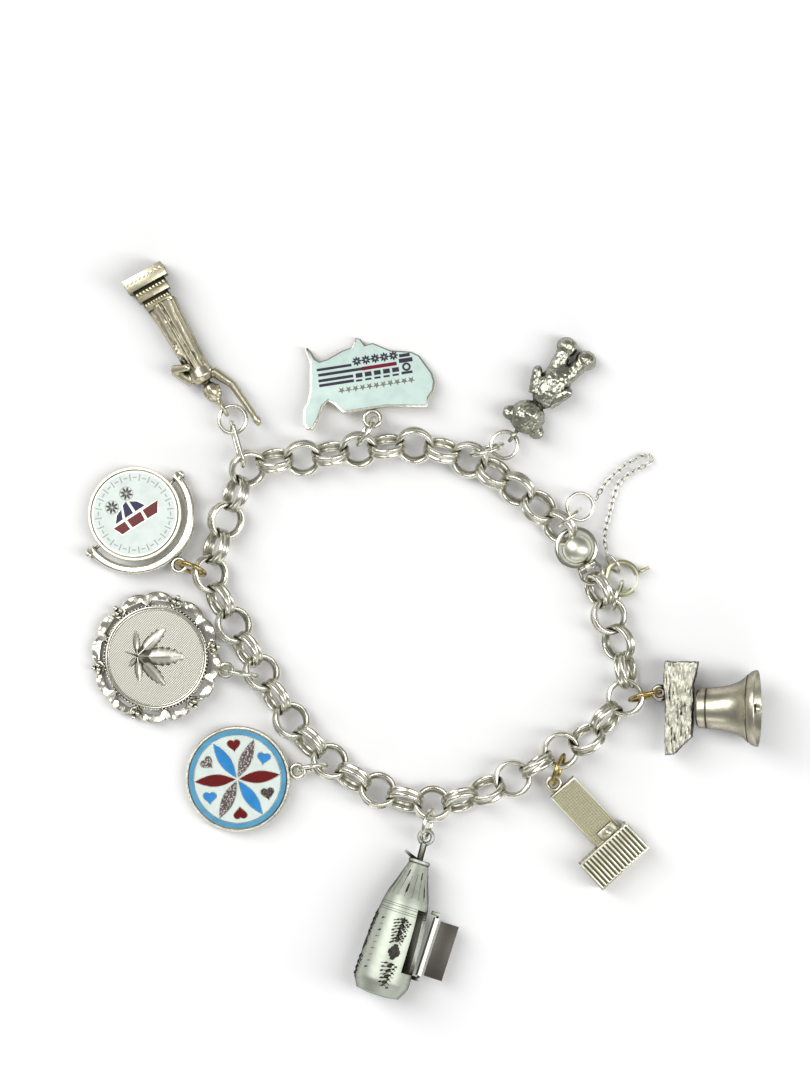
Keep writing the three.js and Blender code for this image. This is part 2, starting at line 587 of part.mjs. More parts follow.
// The bear as shares of its length: lumps as [place, radii, facets across, facets down].
const BEAR_LUMPS = [
  [[0.2, 0, 0], [0.1477, 0.1562, 0.1307], 8, 6], // head
  [[0.2284, -0.017, 0.1023], [0.0682, 0.0739, 0.0625], 5, 4], // muzzle
  [[0.14, 0.1449, 0.0114], [0.0682, 0.071, 0.0455], 6, 3], // ear
  [[0.14, -0.1449, 0.0114], [0.0682, 0.071, 0.0455], 6, 3], // ear
  [[0.55, -0.017, 0], [0.233, 0.142, 0.1193], 8, 6], // body
  [[0.9, 0.0852, -0.0057], [0.0852, 0.0966, 0.0966], 6, 4], // foot
  [[0.9, -0.1193, -0.0057], [0.0909, 0.0966, 0.0966], 6, 4], // foot
]
// Its limbs as [from, to, first radius, last radius].
const BEAR_LIMBS = [
  [[0.66, 0.0398, 0], [0.88, 0.0795, 0], 0.0739, 0.0653], // leg
  [[0.66, -0.0625, 0], [0.88, -0.108, 0], 0.0739, 0.0653], // leg
  [[0.4, 0.0795, 0.017], [0.58, 0.1761, 0.0511], 0.0483, 0.0455], // arm
  [[0.4, -0.0909, 0.017], [0.57, -0.1591, 0.0795], 0.0483, 0.0455], // arm
]

function bear() {
  const at = hangTwice(['bear_chain_ring', 'bear_jump_ring'],
    { link: 36, swing: 20, height: 2.7, roll: 10, radius: 2.5 },
    { swing: 28, height: 2.6, roll: 88, radius: 2.05 })
  const length = BEAR_LENGTH
  const frame = charmFrame(at, 53.4, length, length * 0.1023)
  const sized = (shares) => shares.map((share) => share * length)
  const parts = [
    bailUpright(),
    ...BEAR_LUMPS.map(([spot, radii, across, down]) =>
      ball(v(...sized(spot)), sized(radii), across, down)),
    ...BEAR_LIMBS.map(([from, to, r0, r1]) =>
      rod(v(...sized(from)), v(...sized(to)), r0 * length, r1 * length, 5)),
  ]
  addMesh(frame, 'bear', join(...parts), DARK)
}

// The bell's outside and inside, as shares of its length and of its mouth's radius.
const BELL_OUTSIDE = [[0.0, 0.36], [0.04, 0.52], [0.42, 0.57], [0.7, 0.7], [0.87, 0.97], [1, 1]]

function bell() {
  const at = hang('bell_jump_ring', { link: 4, swing: 15, height: 3.3, roll: -10, radius: 2.4 }, BRASS)
  const crown = v(BELL_FROM_BAIL, -2.3, 0)
  const frame = charmFrame(at, 0, crown.x + BELL_LENGTH, BELL_MOUTH)
  const outside = BELL_OUTSIDE.map(([x, r]) => [x * BELL_LENGTH, r * BELL_MOUTH])
  const roof = BELL_WALL + SEAT_GAP
  const inside = BELL_OUTSIDE.slice(1).map(([x, r]) =>
    [Math.max(x * BELL_LENGTH, roof), r * BELL_MOUTH - BELL_WALL])
  inside.reverse()
  const shell = turned([[0, 0], ...outside, ...inside, [roof, 0]], 12, crown)
  addMesh(frame, 'bell', join(shell), DARK)

  const half = YOKE_WIDTH / 2
  const yoke = plate([
    [0.9, -half], [2.3, -half * 0.98], [5.0, -half * 0.62], [5.3, half * 0.2], [5.3, half * 0.52],
    [5.7, half * 0.7], [6.0, half * 0.98], [0.9, half], [0.6, half * 0.5], [0.9, -half * 0.3],
  ], YOKE_THICK, -YOKE_THICK / 2).translate(0, crown.y, 0)
  addMesh(frame, 'bell_yoke', join(yoke, bailFlat(1.0), rod(v(0.9, -0.2), v(2, -1), 0.5)), DARK)

  const hung = crown.clone().add(v(roof + SEAT_GAP, 0))
  const strike = crown.clone().add(v(BELL_LENGTH - 0.2, 0))
  const clapper = join(rod(hung, strike, 0.3), ball(strike, [0.8, 0.8, 0.8], 8, 5))
  addMesh(frame, 'bell_clapper', clapper, DARK)
}

function tower() {
  const at = hang('tower_jump_ring', { link: 7, swing: -110, height: 2.8, roll: 10, radius: 2.4 }, BRASS)
  const start = BAIL_RADIUS + BAIL_WIRE / 2
  const frame = charmFrame(at, -47.5, start + TOWER_LENGTH + HALL_LENGTH, HALL_THICK / 2)
  const slab = box(TOWER_LENGTH + 1, TOWER_WIDTH, TOWER_THICK, v(start + TOWER_LENGTH / 2 + 0.5, 0.6))
  const hallAt = start + TOWER_LENGTH + HALL_LENGTH / 2
  const hall = box(HALL_LENGTH, HALL_WIDTH, HALL_THICK, v(hallAt, -0.7))
  const dome = ball(v(start + TOWER_LENGTH, 1.4, TOWER_THICK / 2 + 0.5), [0.5, 0.7, 0.7], 8, 5)
  addMesh(frame, 'tower', join(slab, hall, dome, bailFlat()), SILVER)
}

// The lodge's outline, as shares of its length and of its widest radius.
const LODGE_OUTLINE = [[0, 0.32], [0.14, 0.53], [0.32, 0.82], [0.55, 0.95], [0.87, 1], [0.97, 0.78]]
const LODGE_DOOR = [7.4, 17.2] // along the axis from the neck
const LODGE_DOOR_TURN = [-4, 56] // round the axis, in degrees up from the side
const lodgeAt = { neck: 3.6, side: 0.2 }

function lodge() {
  const at = hang('lodge_jump_ring', { link: 12, swing: -103, height: 3.1, roll: 15, radius: 2.3 })
  const frame = charmFrame(at, -107.9, lodgeAt.neck + LODGE_LENGTH * 0.87, LODGE_RADIUS)
  const axis = v(lodgeAt.neck, lodgeAt.side, 0)
  const outside = LODGE_OUTLINE.map(([x, r]) => [x * LODGE_LENGTH, r * LODGE_RADIUS])
  const inside = LODGE_OUTLINE.slice(1).map(([x, r]) =>
    [x * LODGE_LENGTH - LODGE_WALL, r * LODGE_RADIUS - LODGE_WALL])
  const shell = solid(turned([[0, 0], ...outside, [LODGE_LENGTH, 0]], 12, axis))
  const room = solid(turned([[inside[0][0], 0], ...inside, [LODGE_LENGTH - LODGE_WALL, 0]], 12, axis))
  const [from, to] = LODGE_DOOR_TURN
  const far = LODGE_RADIUS * 2
  const doorway = plate(
    [[0, 0], polar(far, from), polar(far, (from + to) / 2), polar(far, to)], LODGE_DOOR[1] - LODGE_DOOR[0])
  doorway.applyMatrix4(new THREE.Matrix4().makeBasis(v(0, 1), UP, v(1, 0)))
  doorway.translate(axis.x + LODGE_DOOR[0], axis.y, axis.z)
  const body = shell.subtract(room).subtract(solid(doorway))
  const { neck, side } = lodgeAt
  const hinge = hingeLine()
  const onFlap = (x) => v(x, hinge.y, hinge.z)
  const fittings = join(
    bailFlat(), rod(v(BAIL_RADIUS, 0), v(neck + 1.2, side), 0.55),
    rod(v(neck, side), v(neck + 0.7, side), LODGE_COLLAR, LODGE_COLLAR, 8),
    rod(v(neck + 0.4, side), v(neck - 0.7, side - 2.6, 0.4), 0.4, 0.2, 5),
    ...hinge.ends.map((x) => box(FLAP_EAR, 1.4, 0.9, v(x, hinge.y - 0.4, hinge.z))),
    rod(onFlap(hinge.ends[0]), onFlap(hinge.ends[1]), FLAP_PIN),
  )
  addMesh(frame, 'lodge', body.add(fittings), DARK)

  const run = hinge.ends[1] - hinge.ends[0] - FLAP_EAR - 2 * SEAT_GAP
  const middle = (hinge.ends[0] + hinge.ends[1]) / 2
  const barrel = rod(onFlap(middle - run / 2), onFlap(middle + run / 2), FLAP_BARREL)
  const reach = FLAP_WIDTH / 2 + FLAP_BARREL / 2
  const flap = box(run, FLAP_WIDTH, FLAP_THICK, v(middle, hinge.y + reach, hinge.z))
  const bore = rod(onFlap(middle - run), onFlap(middle + run), FLAP_PIN + HINGE_CLEARANCE)
  addMesh(frame, 'lodge_flap', join(barrel, flap).subtract(solid(bore)), DARK)
}

// The flap's hinge runs down the doorway's lower edge, just outside the wall.
function hingeLine() {
  const out = LODGE_RADIUS + FLAP_BARREL + SEAT_GAP
  return {
    ends: [lodgeAt.neck + LODGE_DOOR[0] - 0.3, lodgeAt.neck + LODGE_DOOR[1] + 0.3],
    y: lodgeAt.side + out * Math.cos(rad(LODGE_DOOR_TURN[0])),
    z: out * Math.sin(rad(LODGE_DOOR_TURN[0])),
  }
}

// Safety chain: two anchor rings at the last link, the fine chain and the spring ring.
// The fine chain's route over the ground, picked by hand in millimetres.
const SAFETY_ROUTE = [
  [27.4, 19.4, 1.6], [28.4, 21.2, 0.7], [30.2, 23.3, 0.56], [32.6, 25.2, 0.56], [35.0, 26.3, 0.56],
  [35.9, 26.0, 0.56], [35.6, 25.1, 0.56], [33.4, 23.9, 0.56], [31.2, 22.2, 0.56], [30.2, 19.9, 0.56],
  [29.6, 17.4, 0.56], [29.0, 15.0, 0.7], [28.8, 13.3, 1.2],
]

// The tube that stands for the fine chain: it ends a small gap beyond the end ring's far side.
function fineChain(nearSide, farSide) {
  const beyond = farSide.clone().sub(nearSide).setLength(SMALL_WIRE + 2 * LOOSE_GAP)
  const spots = [...SAFETY_ROUTE.map(([x, y, z]) => v(x, y, z)), farSide.clone().add(beyond)]
  const path = new THREE.CatmullRomCurve3(spots, false, 'centripetal')
  const corners = Array.from({ length: 8 }, (_, i) => new THREE.Vector2(...polar(SAFETY_CHAIN, i * 45)))
  const form = { steps: 17, bevelEnabled: false, extrudePath: path }
  return new THREE.ExtrudeGeometry(new THREE.Shape(corners), form)
}

function safetyChain() {
  const from = hookOf({ link: LINK_COUNT - 1, hold: 0.5 })
  const swing = 40
  const span = 2 * ANCHOR_RADIUS * ANCHOR_TAUT
  const far = reachFrom(from, swing, span, 3.0)
  const near = reachFrom(from, swing, span - 2 * SMALL_WIRE - 5 * LOOSE_GAP, 3.0)
  const end = reachFrom(near, 12, span, 2.1)
  const anchor = (a, b, roll) => join(threaded(a, b, ANCHOR_RADIUS, SMALL_WIRE, roll))
  addMesh(bracelet, 'anchor_ring_inner', anchor(from, far, 0), SILVER)
  addMesh(bracelet, 'anchor_ring_outer', anchor(near, end, -85), SILVER)
  const hub = v(31.4, 7.4, SPRING_HEIGHT)
  springRing(hub)
  const inside = SPRING_RING - SPRING_TUBE - SMALL_WIRE - 2.5 * LOOSE_GAP
  const top = v(...polar(inside - LOOSE_GAP, 127, [hub.x, hub.y]), SPRING_HEIGHT)
  const chainSide = reachFrom(top, 122, 2 * END_RING_RADIUS * TAUT, 1.5)
  const endRing = threaded(top, chainSide, END_RING_RADIUS, SMALL_WIRE, 20)
  addMesh(bracelet, 'safety_end_ring', join(endRing), SILVER)
  addMesh(bracelet, 'safety_chain', join(fineChain(top, chainSide)), SILVER)
  const low = v(...polar(inside - LOOSE_GAP * 2, -80, [hub.x, hub.y]), SPRING_HEIGHT)
  const held = hookOf({ link: 1, slide: -0.6 })
  const catchRing = threaded(low, held, low.distanceTo(held) / 2 / TAUT, SMALL_WIRE, 10)
  addMesh(bracelet, 'catch_ring', join(catchRing), SILVER)
}

function sector(from, to, radius, thick) {
  const steps = Math.ceil(Math.abs(to - from) / 60)
  const rim = Array.from({ length: steps + 1 }, (_, i) => polar(radius, from + ((to - from) * i) / steps))
  return plate([[0, 0], ...rim], thick, -thick / 2)
}

function springRing(hub) {
  const frame = new THREE.Group()
  frame.position.copy(hub)
  bracelet.add(frame)
  const [shut, open] = SPRING_MOUTH
  const torus = (wire, sides) => solid(new THREE.TorusGeometry(SPRING_RING, wire, sides, 12))
  const wide = SPRING_RING * 3
  const bore = torus(SPRING_BORE, 6).intersect(solid(sector(shut - 10, open + SPRING_TRAVEL + 32, wide, 4)))
  const slot = solid(sector(open + 3, open + SPRING_TRAVEL + 16, wide, 0.5)).subtract(
    solid(new THREE.CylinderGeometry(SPRING_RING, SPRING_RING, 4, 16).rotateX(Math.PI / 2)))
  const mouth = solid(sector(shut, open, wide, 4))
  const body = torus(SPRING_TUBE, 6).subtract(mouth).subtract(bore).subtract(slot)
  addMesh(frame, 'spring_ring', body, BRIGHT)
  const nubAt = open + 9
  const atNub = (outward) => v(...polar(SPRING_RING + outward, nubAt))
  const pin = torus(SPRING_PIN, 5).intersect(solid(sector(shut - 6, nubAt + 14, wide, 4)))
  const stem = join(
    rod(atNub(0), atNub(1.9), SPRING_PIN, SPRING_PIN, 5),
    rod(atNub(SPRING_TUBE + 0.2), atNub(2.2), 0.4, 0.3, 6),
  )
  addMesh(frame, 'spring_ring_gate', pin.add(stem), BRIGHT)
}

chain()
clasp()
safetyChain()
hexCharm()
leafMedal()
spinner()
statue()
mapCharm()
bear()
bell()
tower()
lodge()

// The origin is on the ground under the middle of the whole bracelet.
const extent = new THREE.Box3().setFromObject(bracelet, true)
const middle = extent.getCenter(v(0, 0))
bracelet.position.set(-middle.x, -middle.y, -extent.min.z)

export default bracelet
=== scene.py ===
# %% [markdown]
# # A silver charm bracelet
# This notebook dresses the solids of a charm bracelet for a photograph-like picture. Each
# piece is made again in fine mesh at the place of its solid, in millimetres, and is written
# in metres at the end. The bracelet lies flat and is seen from straight above.

# %% Start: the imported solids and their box
from math import asin, cos, hypot, pi, radians, sin

import bmesh
import bpy
from mathutils import Matrix, Vector, noise
from mathutils.bvhtree import BVHTree


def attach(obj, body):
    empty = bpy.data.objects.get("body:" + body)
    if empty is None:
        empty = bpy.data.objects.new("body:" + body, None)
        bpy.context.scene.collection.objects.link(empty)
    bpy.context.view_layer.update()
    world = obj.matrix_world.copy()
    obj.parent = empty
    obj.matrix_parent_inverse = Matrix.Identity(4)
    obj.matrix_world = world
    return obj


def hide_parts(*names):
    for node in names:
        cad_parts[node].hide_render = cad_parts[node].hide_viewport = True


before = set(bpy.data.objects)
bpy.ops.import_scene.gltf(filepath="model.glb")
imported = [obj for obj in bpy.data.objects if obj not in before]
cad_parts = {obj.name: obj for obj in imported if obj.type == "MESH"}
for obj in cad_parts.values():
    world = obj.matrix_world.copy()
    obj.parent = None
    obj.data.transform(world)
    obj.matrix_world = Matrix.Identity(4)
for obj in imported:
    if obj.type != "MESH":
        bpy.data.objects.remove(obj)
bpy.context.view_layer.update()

MM = 0.001
UP = Vector((0, 0, 1))
FLAT = Matrix.Rotation(-pi / 2, 4, "Y")    # lays a form turned about X so that it turns about Z
UPRIGHT = Matrix.Rotation(pi / 2, 4, "X")  # stands a flat form up

# %% [markdown]
# ## Working with parts and pieces
# Every form below is a small bmesh in millimetres, made with Blender's own mesh operators.
# A piece collects several forms, each moved to its place by a matrix, and each with the
# number of the finish that it takes.

# %% Collecting forms into a piece
def add(piece, form, place=Matrix(), finish=0):
    """Moves a form to its place in a piece and gives it one of the piece's finishes."""
    for face in form.faces:
        face.material_index = finish
    mesh = bpy.data.meshes.new("form")
    form.to_mesh(mesh)
    form.free()
    mesh.transform(place)
    piece.from_mesh(mesh)
    bpy.data.meshes.remove(mesh)


def moved(x=0.0, y=0.0, z=0.0, turn=0.0):
    return Matrix.Translation((x, y, z)) @ Matrix.Rotation(radians(turn), 4, "Z")


def basis(x, y, z, at):
    place = Matrix((x, y, z)).transposed().to_4x4()
    place.translation = at
    return place


def shift(bm, matrix):
    bmesh.ops.transform(bm, matrix=matrix, verts=bm.verts)


# %% [markdown]
# ## Painted shade
# Shade is painted into the silver's colour. A few rays go out from each vertex of a piece, and
# the share of them that hits the piece again close by is kept on the vertex; in the hollows this
# also stands for real tarnish. Sides and undersides get a further share of painted shade. The
# metals read the sum to turn dark in corners, grooves and edges.

# %% Measuring the painted shade of a piece
RAYS = [Vector((sin(a) * s, cos(a) * s, c)) for a, s, c in
        [(0, 0.0, 1.0)] + [(2 * pi * i / 5, 0.6, 0.8) for i in range(5)]
        + [(2 * pi * (i + 0.5) / 7, 0.92, 0.39) for i in range(7)]]
RAY_START = 0.02              # mm above the surface, so that a ray misses its own face
SIDE_SHADE_FROM, SIDE_SHADE_SHARE = 0.7, 0.45  # how level a face is where painted shade on the sides sets in, and how fast
SIDE_SHADE_MOST = 0.34             # the most painted shade that a side or an underside adds


def mark_painted_shade(mesh, reach=1.4):
    corners = [vertex.co.copy() for vertex in mesh.vertices]
    tree = BVHTree.FromPolygons(corners, [face.vertices[:] for face in mesh.polygons])
    values = []
    for vertex in mesh.vertices:
        normal = vertex.normal
        turn = normal.to_track_quat("Z", "Y")
        start = vertex.co + normal * RAY_START
        hidden = 0.0
        for ray in RAYS:
            distance = tree.ray_cast(start, turn @ ray, reach)[3]
            if distance is not None:
                hidden += 1 - 0.5 * distance / reach
        # Painted shade on sides and undersides, darker the less a face looks up
        under = min(SIDE_SHADE_MOST, SIDE_SHADE_SHARE * max(0.0, SIDE_SHADE_FROM - normal.z))
        values.append(hidden / len(RAYS) + under)
    mesh.attributes.new("recess", "FLOAT", "POINT").data.foreach_set("value", values)


def piece(name, bm, finishes, body="bracelet", sharp=35, reach=1.4, outward=True):
    """Makes a bmesh into an object that stands for the solid of the same name."""
    bmesh.ops.remove_doubles(bm, verts=bm.verts, dist=0.0005)
    if outward:
        bmesh.ops.recalc_face_normals(bm, faces=bm.faces)
    mesh = bpy.data.meshes.new(name)
    bm.to_mesh(mesh)
    bm.free()
    mesh.shade_smooth()
    mesh.set_sharp_from_angle(angle=radians(sharp))
    mark_painted_shade(mesh, reach)
    mesh.transform(Matrix.Scale(MM, 4))
    obj = bpy.data.objects.new(name, mesh)
    bpy.context.collection.objects.link(obj)
    for material, _ in finishes:
        mesh.materials.append(material)
    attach(obj, body)
    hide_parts(name)
    print(name, len(mesh.polygons), "faces")
    return obj


# %% [markdown]
# ## Basic forms
# A wire ring is a small circle spun round an axis. A turned form is a profile spun round
# its own length, as on a lathe. A plate is one face drawn up into a slab with soft edges.

# %% Wire rings, turned forms, plates, balls and rods
def spun(bm, steps, angle=2 * pi, axis=(0, 0, 1)):
    """Spins all that a bmesh holds round an axis through the origin."""
    bmesh.ops.spin(bm, geom=bm.verts[:] + bm.edges[:] + bm.faces[:], cent=(0, 0, 0), axis=axis,
                   angle=angle, steps=steps, use_merge=angle == 2 * pi)


def wire_start(bm, radius, wire, sides, degrees=0.0, filled=False):
    """The round end of a wire, standing where its ring begins."""
    place = Matrix.Rotation(radians(degrees), 4, "Z") @ Matrix.Translation((radius, 0, 0)) @ UPRIGHT
    bmesh.ops.create_circle(bm, cap_ends=filled, segments=sides, radius=wire, matrix=place)


def make_oval(bm, radius, stretch, ease):
    """Pulls the two ends of a ring apart along X, with straighter sides between them."""
    for vertex in bm.verts:
        vertex.co.x += stretch * max(-1, min(1, ease * vertex.co.x / radius))


def wire_ring(radius, wire, stretch=0.0, turns=44, sides=12):
    bm = bmesh.new()
    wire_start(bm, radius, wire, sides)
    spun(bm, turns)
    if stretch:
        make_oval(bm, radius, stretch, 3)
    return bm


def turned(profile, steps=48, closed=False):
    """Spins rows of [distance along X, radius] about X."""
    bm = bmesh.new()
    verts = [bm.verts.new((x, 0, r)) for x, r in profile]
    for pair in list(zip(verts, verts[1:])) + ([(verts[-1], verts[0])] if closed else []):
        bm.edges.new(pair)
    spun(bm, steps, axis=(1, 0, 0))
    bmesh.ops.remove_doubles(bm, verts=bm.verts, dist=0.001)
    bmesh.ops.dissolve_degenerate(bm, dist=0.0005, edges=bm.edges)
    bmesh.ops.recalc_face_normals(bm, faces=bm.faces)
    return bm


def dish(profile, steps=72, closed=False):
    """Spins rows of [radius, height] about Z."""
    bm = turned([(z, r) for r, z in profile], steps, closed)
    shift(bm, FLAT)
    return bm


def soften(bm, edges, offset, segments=2, clamp=False):
    bmesh.ops.bevel(bm, geom=edges, offset=offset, offset_type="OFFSET", segments=segments,
                    profile=0.5, affect="EDGES", material=-1, clamp_overlap=clamp)


def plate(outline, thick, z=0.0, soft=0.0, segments=2):
    bm = bmesh.new()
    base = bm.faces.new([bm.verts.new((x, y, z)) for x, y in outline])
    up = bmesh.ops.extrude_face_region(bm, geom=[base])
    top = [item for item in up["geom"] if isinstance(item, bmesh.types.BMVert)]
    bmesh.ops.translate(bm, verts=top, vec=(0, 0, thick))
    bmesh.ops.recalc_face_normals(bm, faces=bm.faces)
    if soft:
        rim = [edge for edge in bm.edges if all(v in top for v in edge.verts)]
        soften(bm, rim, soft, segments, clamp=True)
    return bm


def ball(at, radii, across=20, down=12):
    bm = bmesh.new()
    bmesh.ops.create_uvsphere(bm, u_segments=across, v_segments=down, radius=1)
    bmesh.ops.scale(bm, vec=Vector(radii), verts=bm.verts)
    bmesh.ops.translate(bm, vec=Vector(at), verts=bm.verts)
    return bm


def rod(start, end, r0, r1=None, sides=16):
    start, end = Vector(start), Vector(end)
    along = end - start
    place = Matrix.Translation((start + end) / 2) @ along.to_track_quat("Z", "Y").to_matrix().to_4x4()
    bm = bmesh.new()
    bmesh.ops.create_cone(bm, cap_ends=True, segments=sides, radius1=r0,
                          radius2=r0 if r1 is None else r1, depth=along.length, matrix=place)
    return bm


def block(size, at, soft=0.05):
    bm = bmesh.new()
    bmesh.ops.create_cube(bm, size=1)
    bmesh.ops.scale(bm, vec=Vector(size), verts=bm.verts)
    bmesh.ops.translate(bm, vec=Vector(at), verts=bm.verts)
    soften(bm, bm.edges[:], soft)
    return bm


def slab(outline, low, high):
    return plate(outline, high - low, low)


def polar(radius, angle, centre=(0, 0)):
    return (centre[0] + radius * cos(radians(angle)), centre[1] + radius * sin(radians(angle)))


# %% [markdown]
# Two forms can also be fused into one skin with a boolean, or cut from each other.

# %% Fusing and cutting
def helper_object(bm):
    mesh = bpy.data.meshes.new("helper")
    bmesh.ops.recalc_face_normals(bm, faces=bm.faces)
    bm.to_mesh(mesh)
    bm.free()
    obj = bpy.data.objects.new("helper", mesh)
    bpy.context.collection.objects.link(obj)
    return obj


def evaluated(base, *tools):
    """The mesh that an object's modifiers give; the helper objects are then removed."""
    result = bmesh.new()
    view = bpy.context.evaluated_depsgraph_get()
    result.from_mesh(base.evaluated_get(view).to_mesh())
    for obj in (base, *tools):
        bpy.data.meshes.remove(obj.data)
    return result


def combined(first, second, operation="UNION"):
    base, tool = helper_object(first), helper_object(second)
    boolean = base.modifiers.new("combine", "BOOLEAN")
    boolean.operation, boolean.solver, boolean.object = operation, "EXACT", tool
    return evaluated(base, tool)


def without(first, second):
    return combined(first, second, "DIFFERENCE")


def cast(bm, grain, smoothing, factor=0.5):
    """Melts overlapping forms into one skin of small faces, as in a casting."""
    base = helper_object(bm)
    melt = base.modifiers.new("melt", "REMESH")
    melt.mode, melt.voxel_size = "VOXEL", grain
    soft = base.modifiers.new("soften", "SMOOTH")
    soft.iterations, soft.factor = smoothing, factor
    return evaluated(base)


# %% [markdown]
# ## Finishes
# One function turns sRGB hex colours to linear light, and one adds a node with its
# settings and links. A metal's look is its reflection, so the silver is a plain metal whose
# colour and roughness change with the painted shade of recesses and sides and with fine wear.

# %% Colours and nodes
def colour(code):
    parts = [int(code[i:i + 2], 16) / 255 for i in (1, 3, 5)]
    linear = [c / 12.92 if c <= 0.04045 else ((c + 0.055) / 1.055) ** 2.4 for c in parts]
    return (*linear, 1.0)


def new_node(tree, kind, settings=None, inputs=None, stops=(), **links):
    """Adds a node with its settings, plain inputs, colour stops and links."""
    node = tree.nodes.new("ShaderNode" + kind)
    for key, value in (settings or {}).items():
        setattr(node, key, value)
    for key, value in (inputs or {}).items():
        node.inputs[key].default_value = value
    if stops:
        elements = node.color_ramp.elements
        while len(elements) < len(stops):
            elements.new(0.5)
        for element, (place, value) in zip(elements, stops):
            element.position, element.color = place, value
    for key, source in links.items():
        slot = int(key[1:]) if key[0] == "i" and key[1:].isdigit() else key.replace("_", " ")
        tree.links.new(node.inputs[slot], source)
    return node


def new_material(name):
    material = bpy.data.materials.new(name)
    material.use_nodes = True
    tree = material.node_tree
    place = new_node(tree, "TexCoord").outputs["Object"]
    return material, tree, tree.nodes["Principled BSDF"], place


def dress(tree, shader, tone, height, relief, plain, invert=False):
    """Gives a shader its tone, its relief (strength, and depth in mm) and plain values."""
    strength, depth = relief
    bump = new_node(tree, "Bump", {"invert": invert}, {"Strength": strength, "Distance": depth * MM},
                    Height=height)
    tree.links.new(shader.inputs["Base Color"], tone)
    tree.links.new(shader.inputs["Normal"], bump.outputs["Normal"])
    for socket, value in plain.items():
        shader.inputs[socket].default_value = value


# %% Silver in several states
GRIT_MM = 0.35  # wear marks, drawn coarser than real ones so that they show
DENT_MM = 1.6   # slow unevenness of a worn surface


def silver(name, bright, dull, dark, rough=0.22, dents=0.05, first=0.16, last=0.62):
    """A silver finish: bright where it is rubbed, dark in recesses and on sides by painted shade."""
    material, tree, shader, place = new_material(name)
    recess = new_node(tree, "Attribute", {"attribute_name": "recess"}).outputs["Fac"]
    grit = new_node(tree, "TexNoise", None, {"Scale": 1 / (GRIT_MM * MM), "Detail": 4.0, "Roughness": 0.6},
                    Vector=place).outputs["Fac"]
    slow = new_node(tree, "TexNoise", None, {"Scale": 1 / (DENT_MM * MM), "Detail": 2.0},
                    Vector=place).outputs["Fac"]
    uneven = new_node(tree, "Math", {"operation": "MULTIPLY_ADD"}, {1: 0.22, 2: -0.11}, i0=grit).outputs[0]
    # The painted shade and the wear marks together pick the colour from the ramp
    hidden = new_node(tree, "Math", {"operation": "ADD"}, i0=recess, i1=uneven).outputs[0]
    stops = [(first, colour(bright)), ((first + last) / 2, colour(dull)), (last, colour(dark))]
    tone = new_node(tree, "ValToRGB", stops=stops, Fac=hidden).outputs["Color"]
    shine = new_node(tree, "MapRange", None, {"From Min": 0.1, "From Max": 0.7, "To Min": rough,
                                              "To Max": min(1, rough + 0.3)}, Value=hidden)
    tree.links.new(shader.inputs["Roughness"], shine.outputs["Result"])
    both = new_node(tree, "Math", {"operation": "MULTIPLY_ADD"}, {1: 0.25}, i0=grit, i2=slow).outputs[0]
    dress(tree, shader, tone, both, (0.6, dents), {"Metallic": 1.0})
    return material


POLISHED = silver("polished_silver", "#ebe9da", "#a19e8a", "#3a372e", rough=0.26)
BRIGHT = silver("bright_silver", "#dfded2", "#a3a192", "#47443b", rough=0.14, dents=0.03)
MATTE = silver("matte_silver", "#e4e1cb", "#a5a189", "#6b674f", rough=0.36, dents=0.03, last=0.8)
FROSTED = silver("frosted_silver", "#e2e4d2", "#b0b29c", "#5a5a48", rough=0.38, dents=0.05)
GILT = silver("warm_worn_silver", "#d2cfae", "#9c9873", "#4f4b33", rough=0.32, dents=0.05)
MARKS = silver("marked_silver", "#a9ada4", "#8c8f86", "#6c6e66", rough=0.4, dents=0.02)
CHASED = silver("chased_silver", "#eeecdf", "#bcb9aa", "#5a574d", rough=0.3, dents=0.05, first=0.3, last=1.0)
# A darker copy of the matte silver for the tower's sunk panes and the gaps between its ribs: painted shade
PAINTED_SHADE_MATTE = silver("matte_silver_painted_shade", "#cbc8b1", "#aba890", "#78755c", rough=0.42, dents=0.03, last=0.8)
HIDE = silver("antiqued_hide_silver", "#c3c9bb", "#75766a", "#302d25", rough=0.5, dents=0.12,
              first=0.05, last=0.42)
TIMBER = silver("antiqued_cast_silver", "#c6c4b4", "#5f5b50", "#28251e", rough=0.4, dents=0.08,
                first=0.0, last=0.3)
BELL_METAL = silver("warm_rubbed_silver", "#cfcab4", "#7f7866", "#2d2820", rough=0.34, dents=0.1,
                    first=0.03, last=0.4)
PEWTER = silver("pewter", "#b4b4a4", "#75766a", "#2e2e27", rough=0.3, dents=0.1, first=0.05, last=0.42)
WARM = silver("warm_antiqued_silver", "#dcd5ba", "#857e60", "#332f20", rough=0.34, dents=0.09,
              first=0.05, last=0.4)
BRASSY = silver("brassy_silver", "#b9a26a", "#7f6c40", "#3d3522", rough=0.25)
DARK = silver("oxidised_silver_and_painted_shade", "#5c5952", "#3f3d37", "#1d1c18", rough=0.45, dents=0.05)


# %% [markdown]
# Two more surfaces are cut into the silver by hand tools. The florentine ground has two
# sets of fine parallel cuts across each other, drawn coarser than real ones so that they
# show. The stippled fields of the hex sign are punched with a fine point. In both, the colour
# is darker where the surface is lower, as painted shade in the cuts and marks.

# %% Florentine and stippled silver
CUT_MM = 0.27             # from one cut to the next
CUT_ANGLES = (42, -48)    # the two sets cross at a right angle
BANDS_PER_UNIT = 0.314    # a wave texture of this scale has one band a unit
STIPPLE_MM = 0.3          # from one punch mark to the next


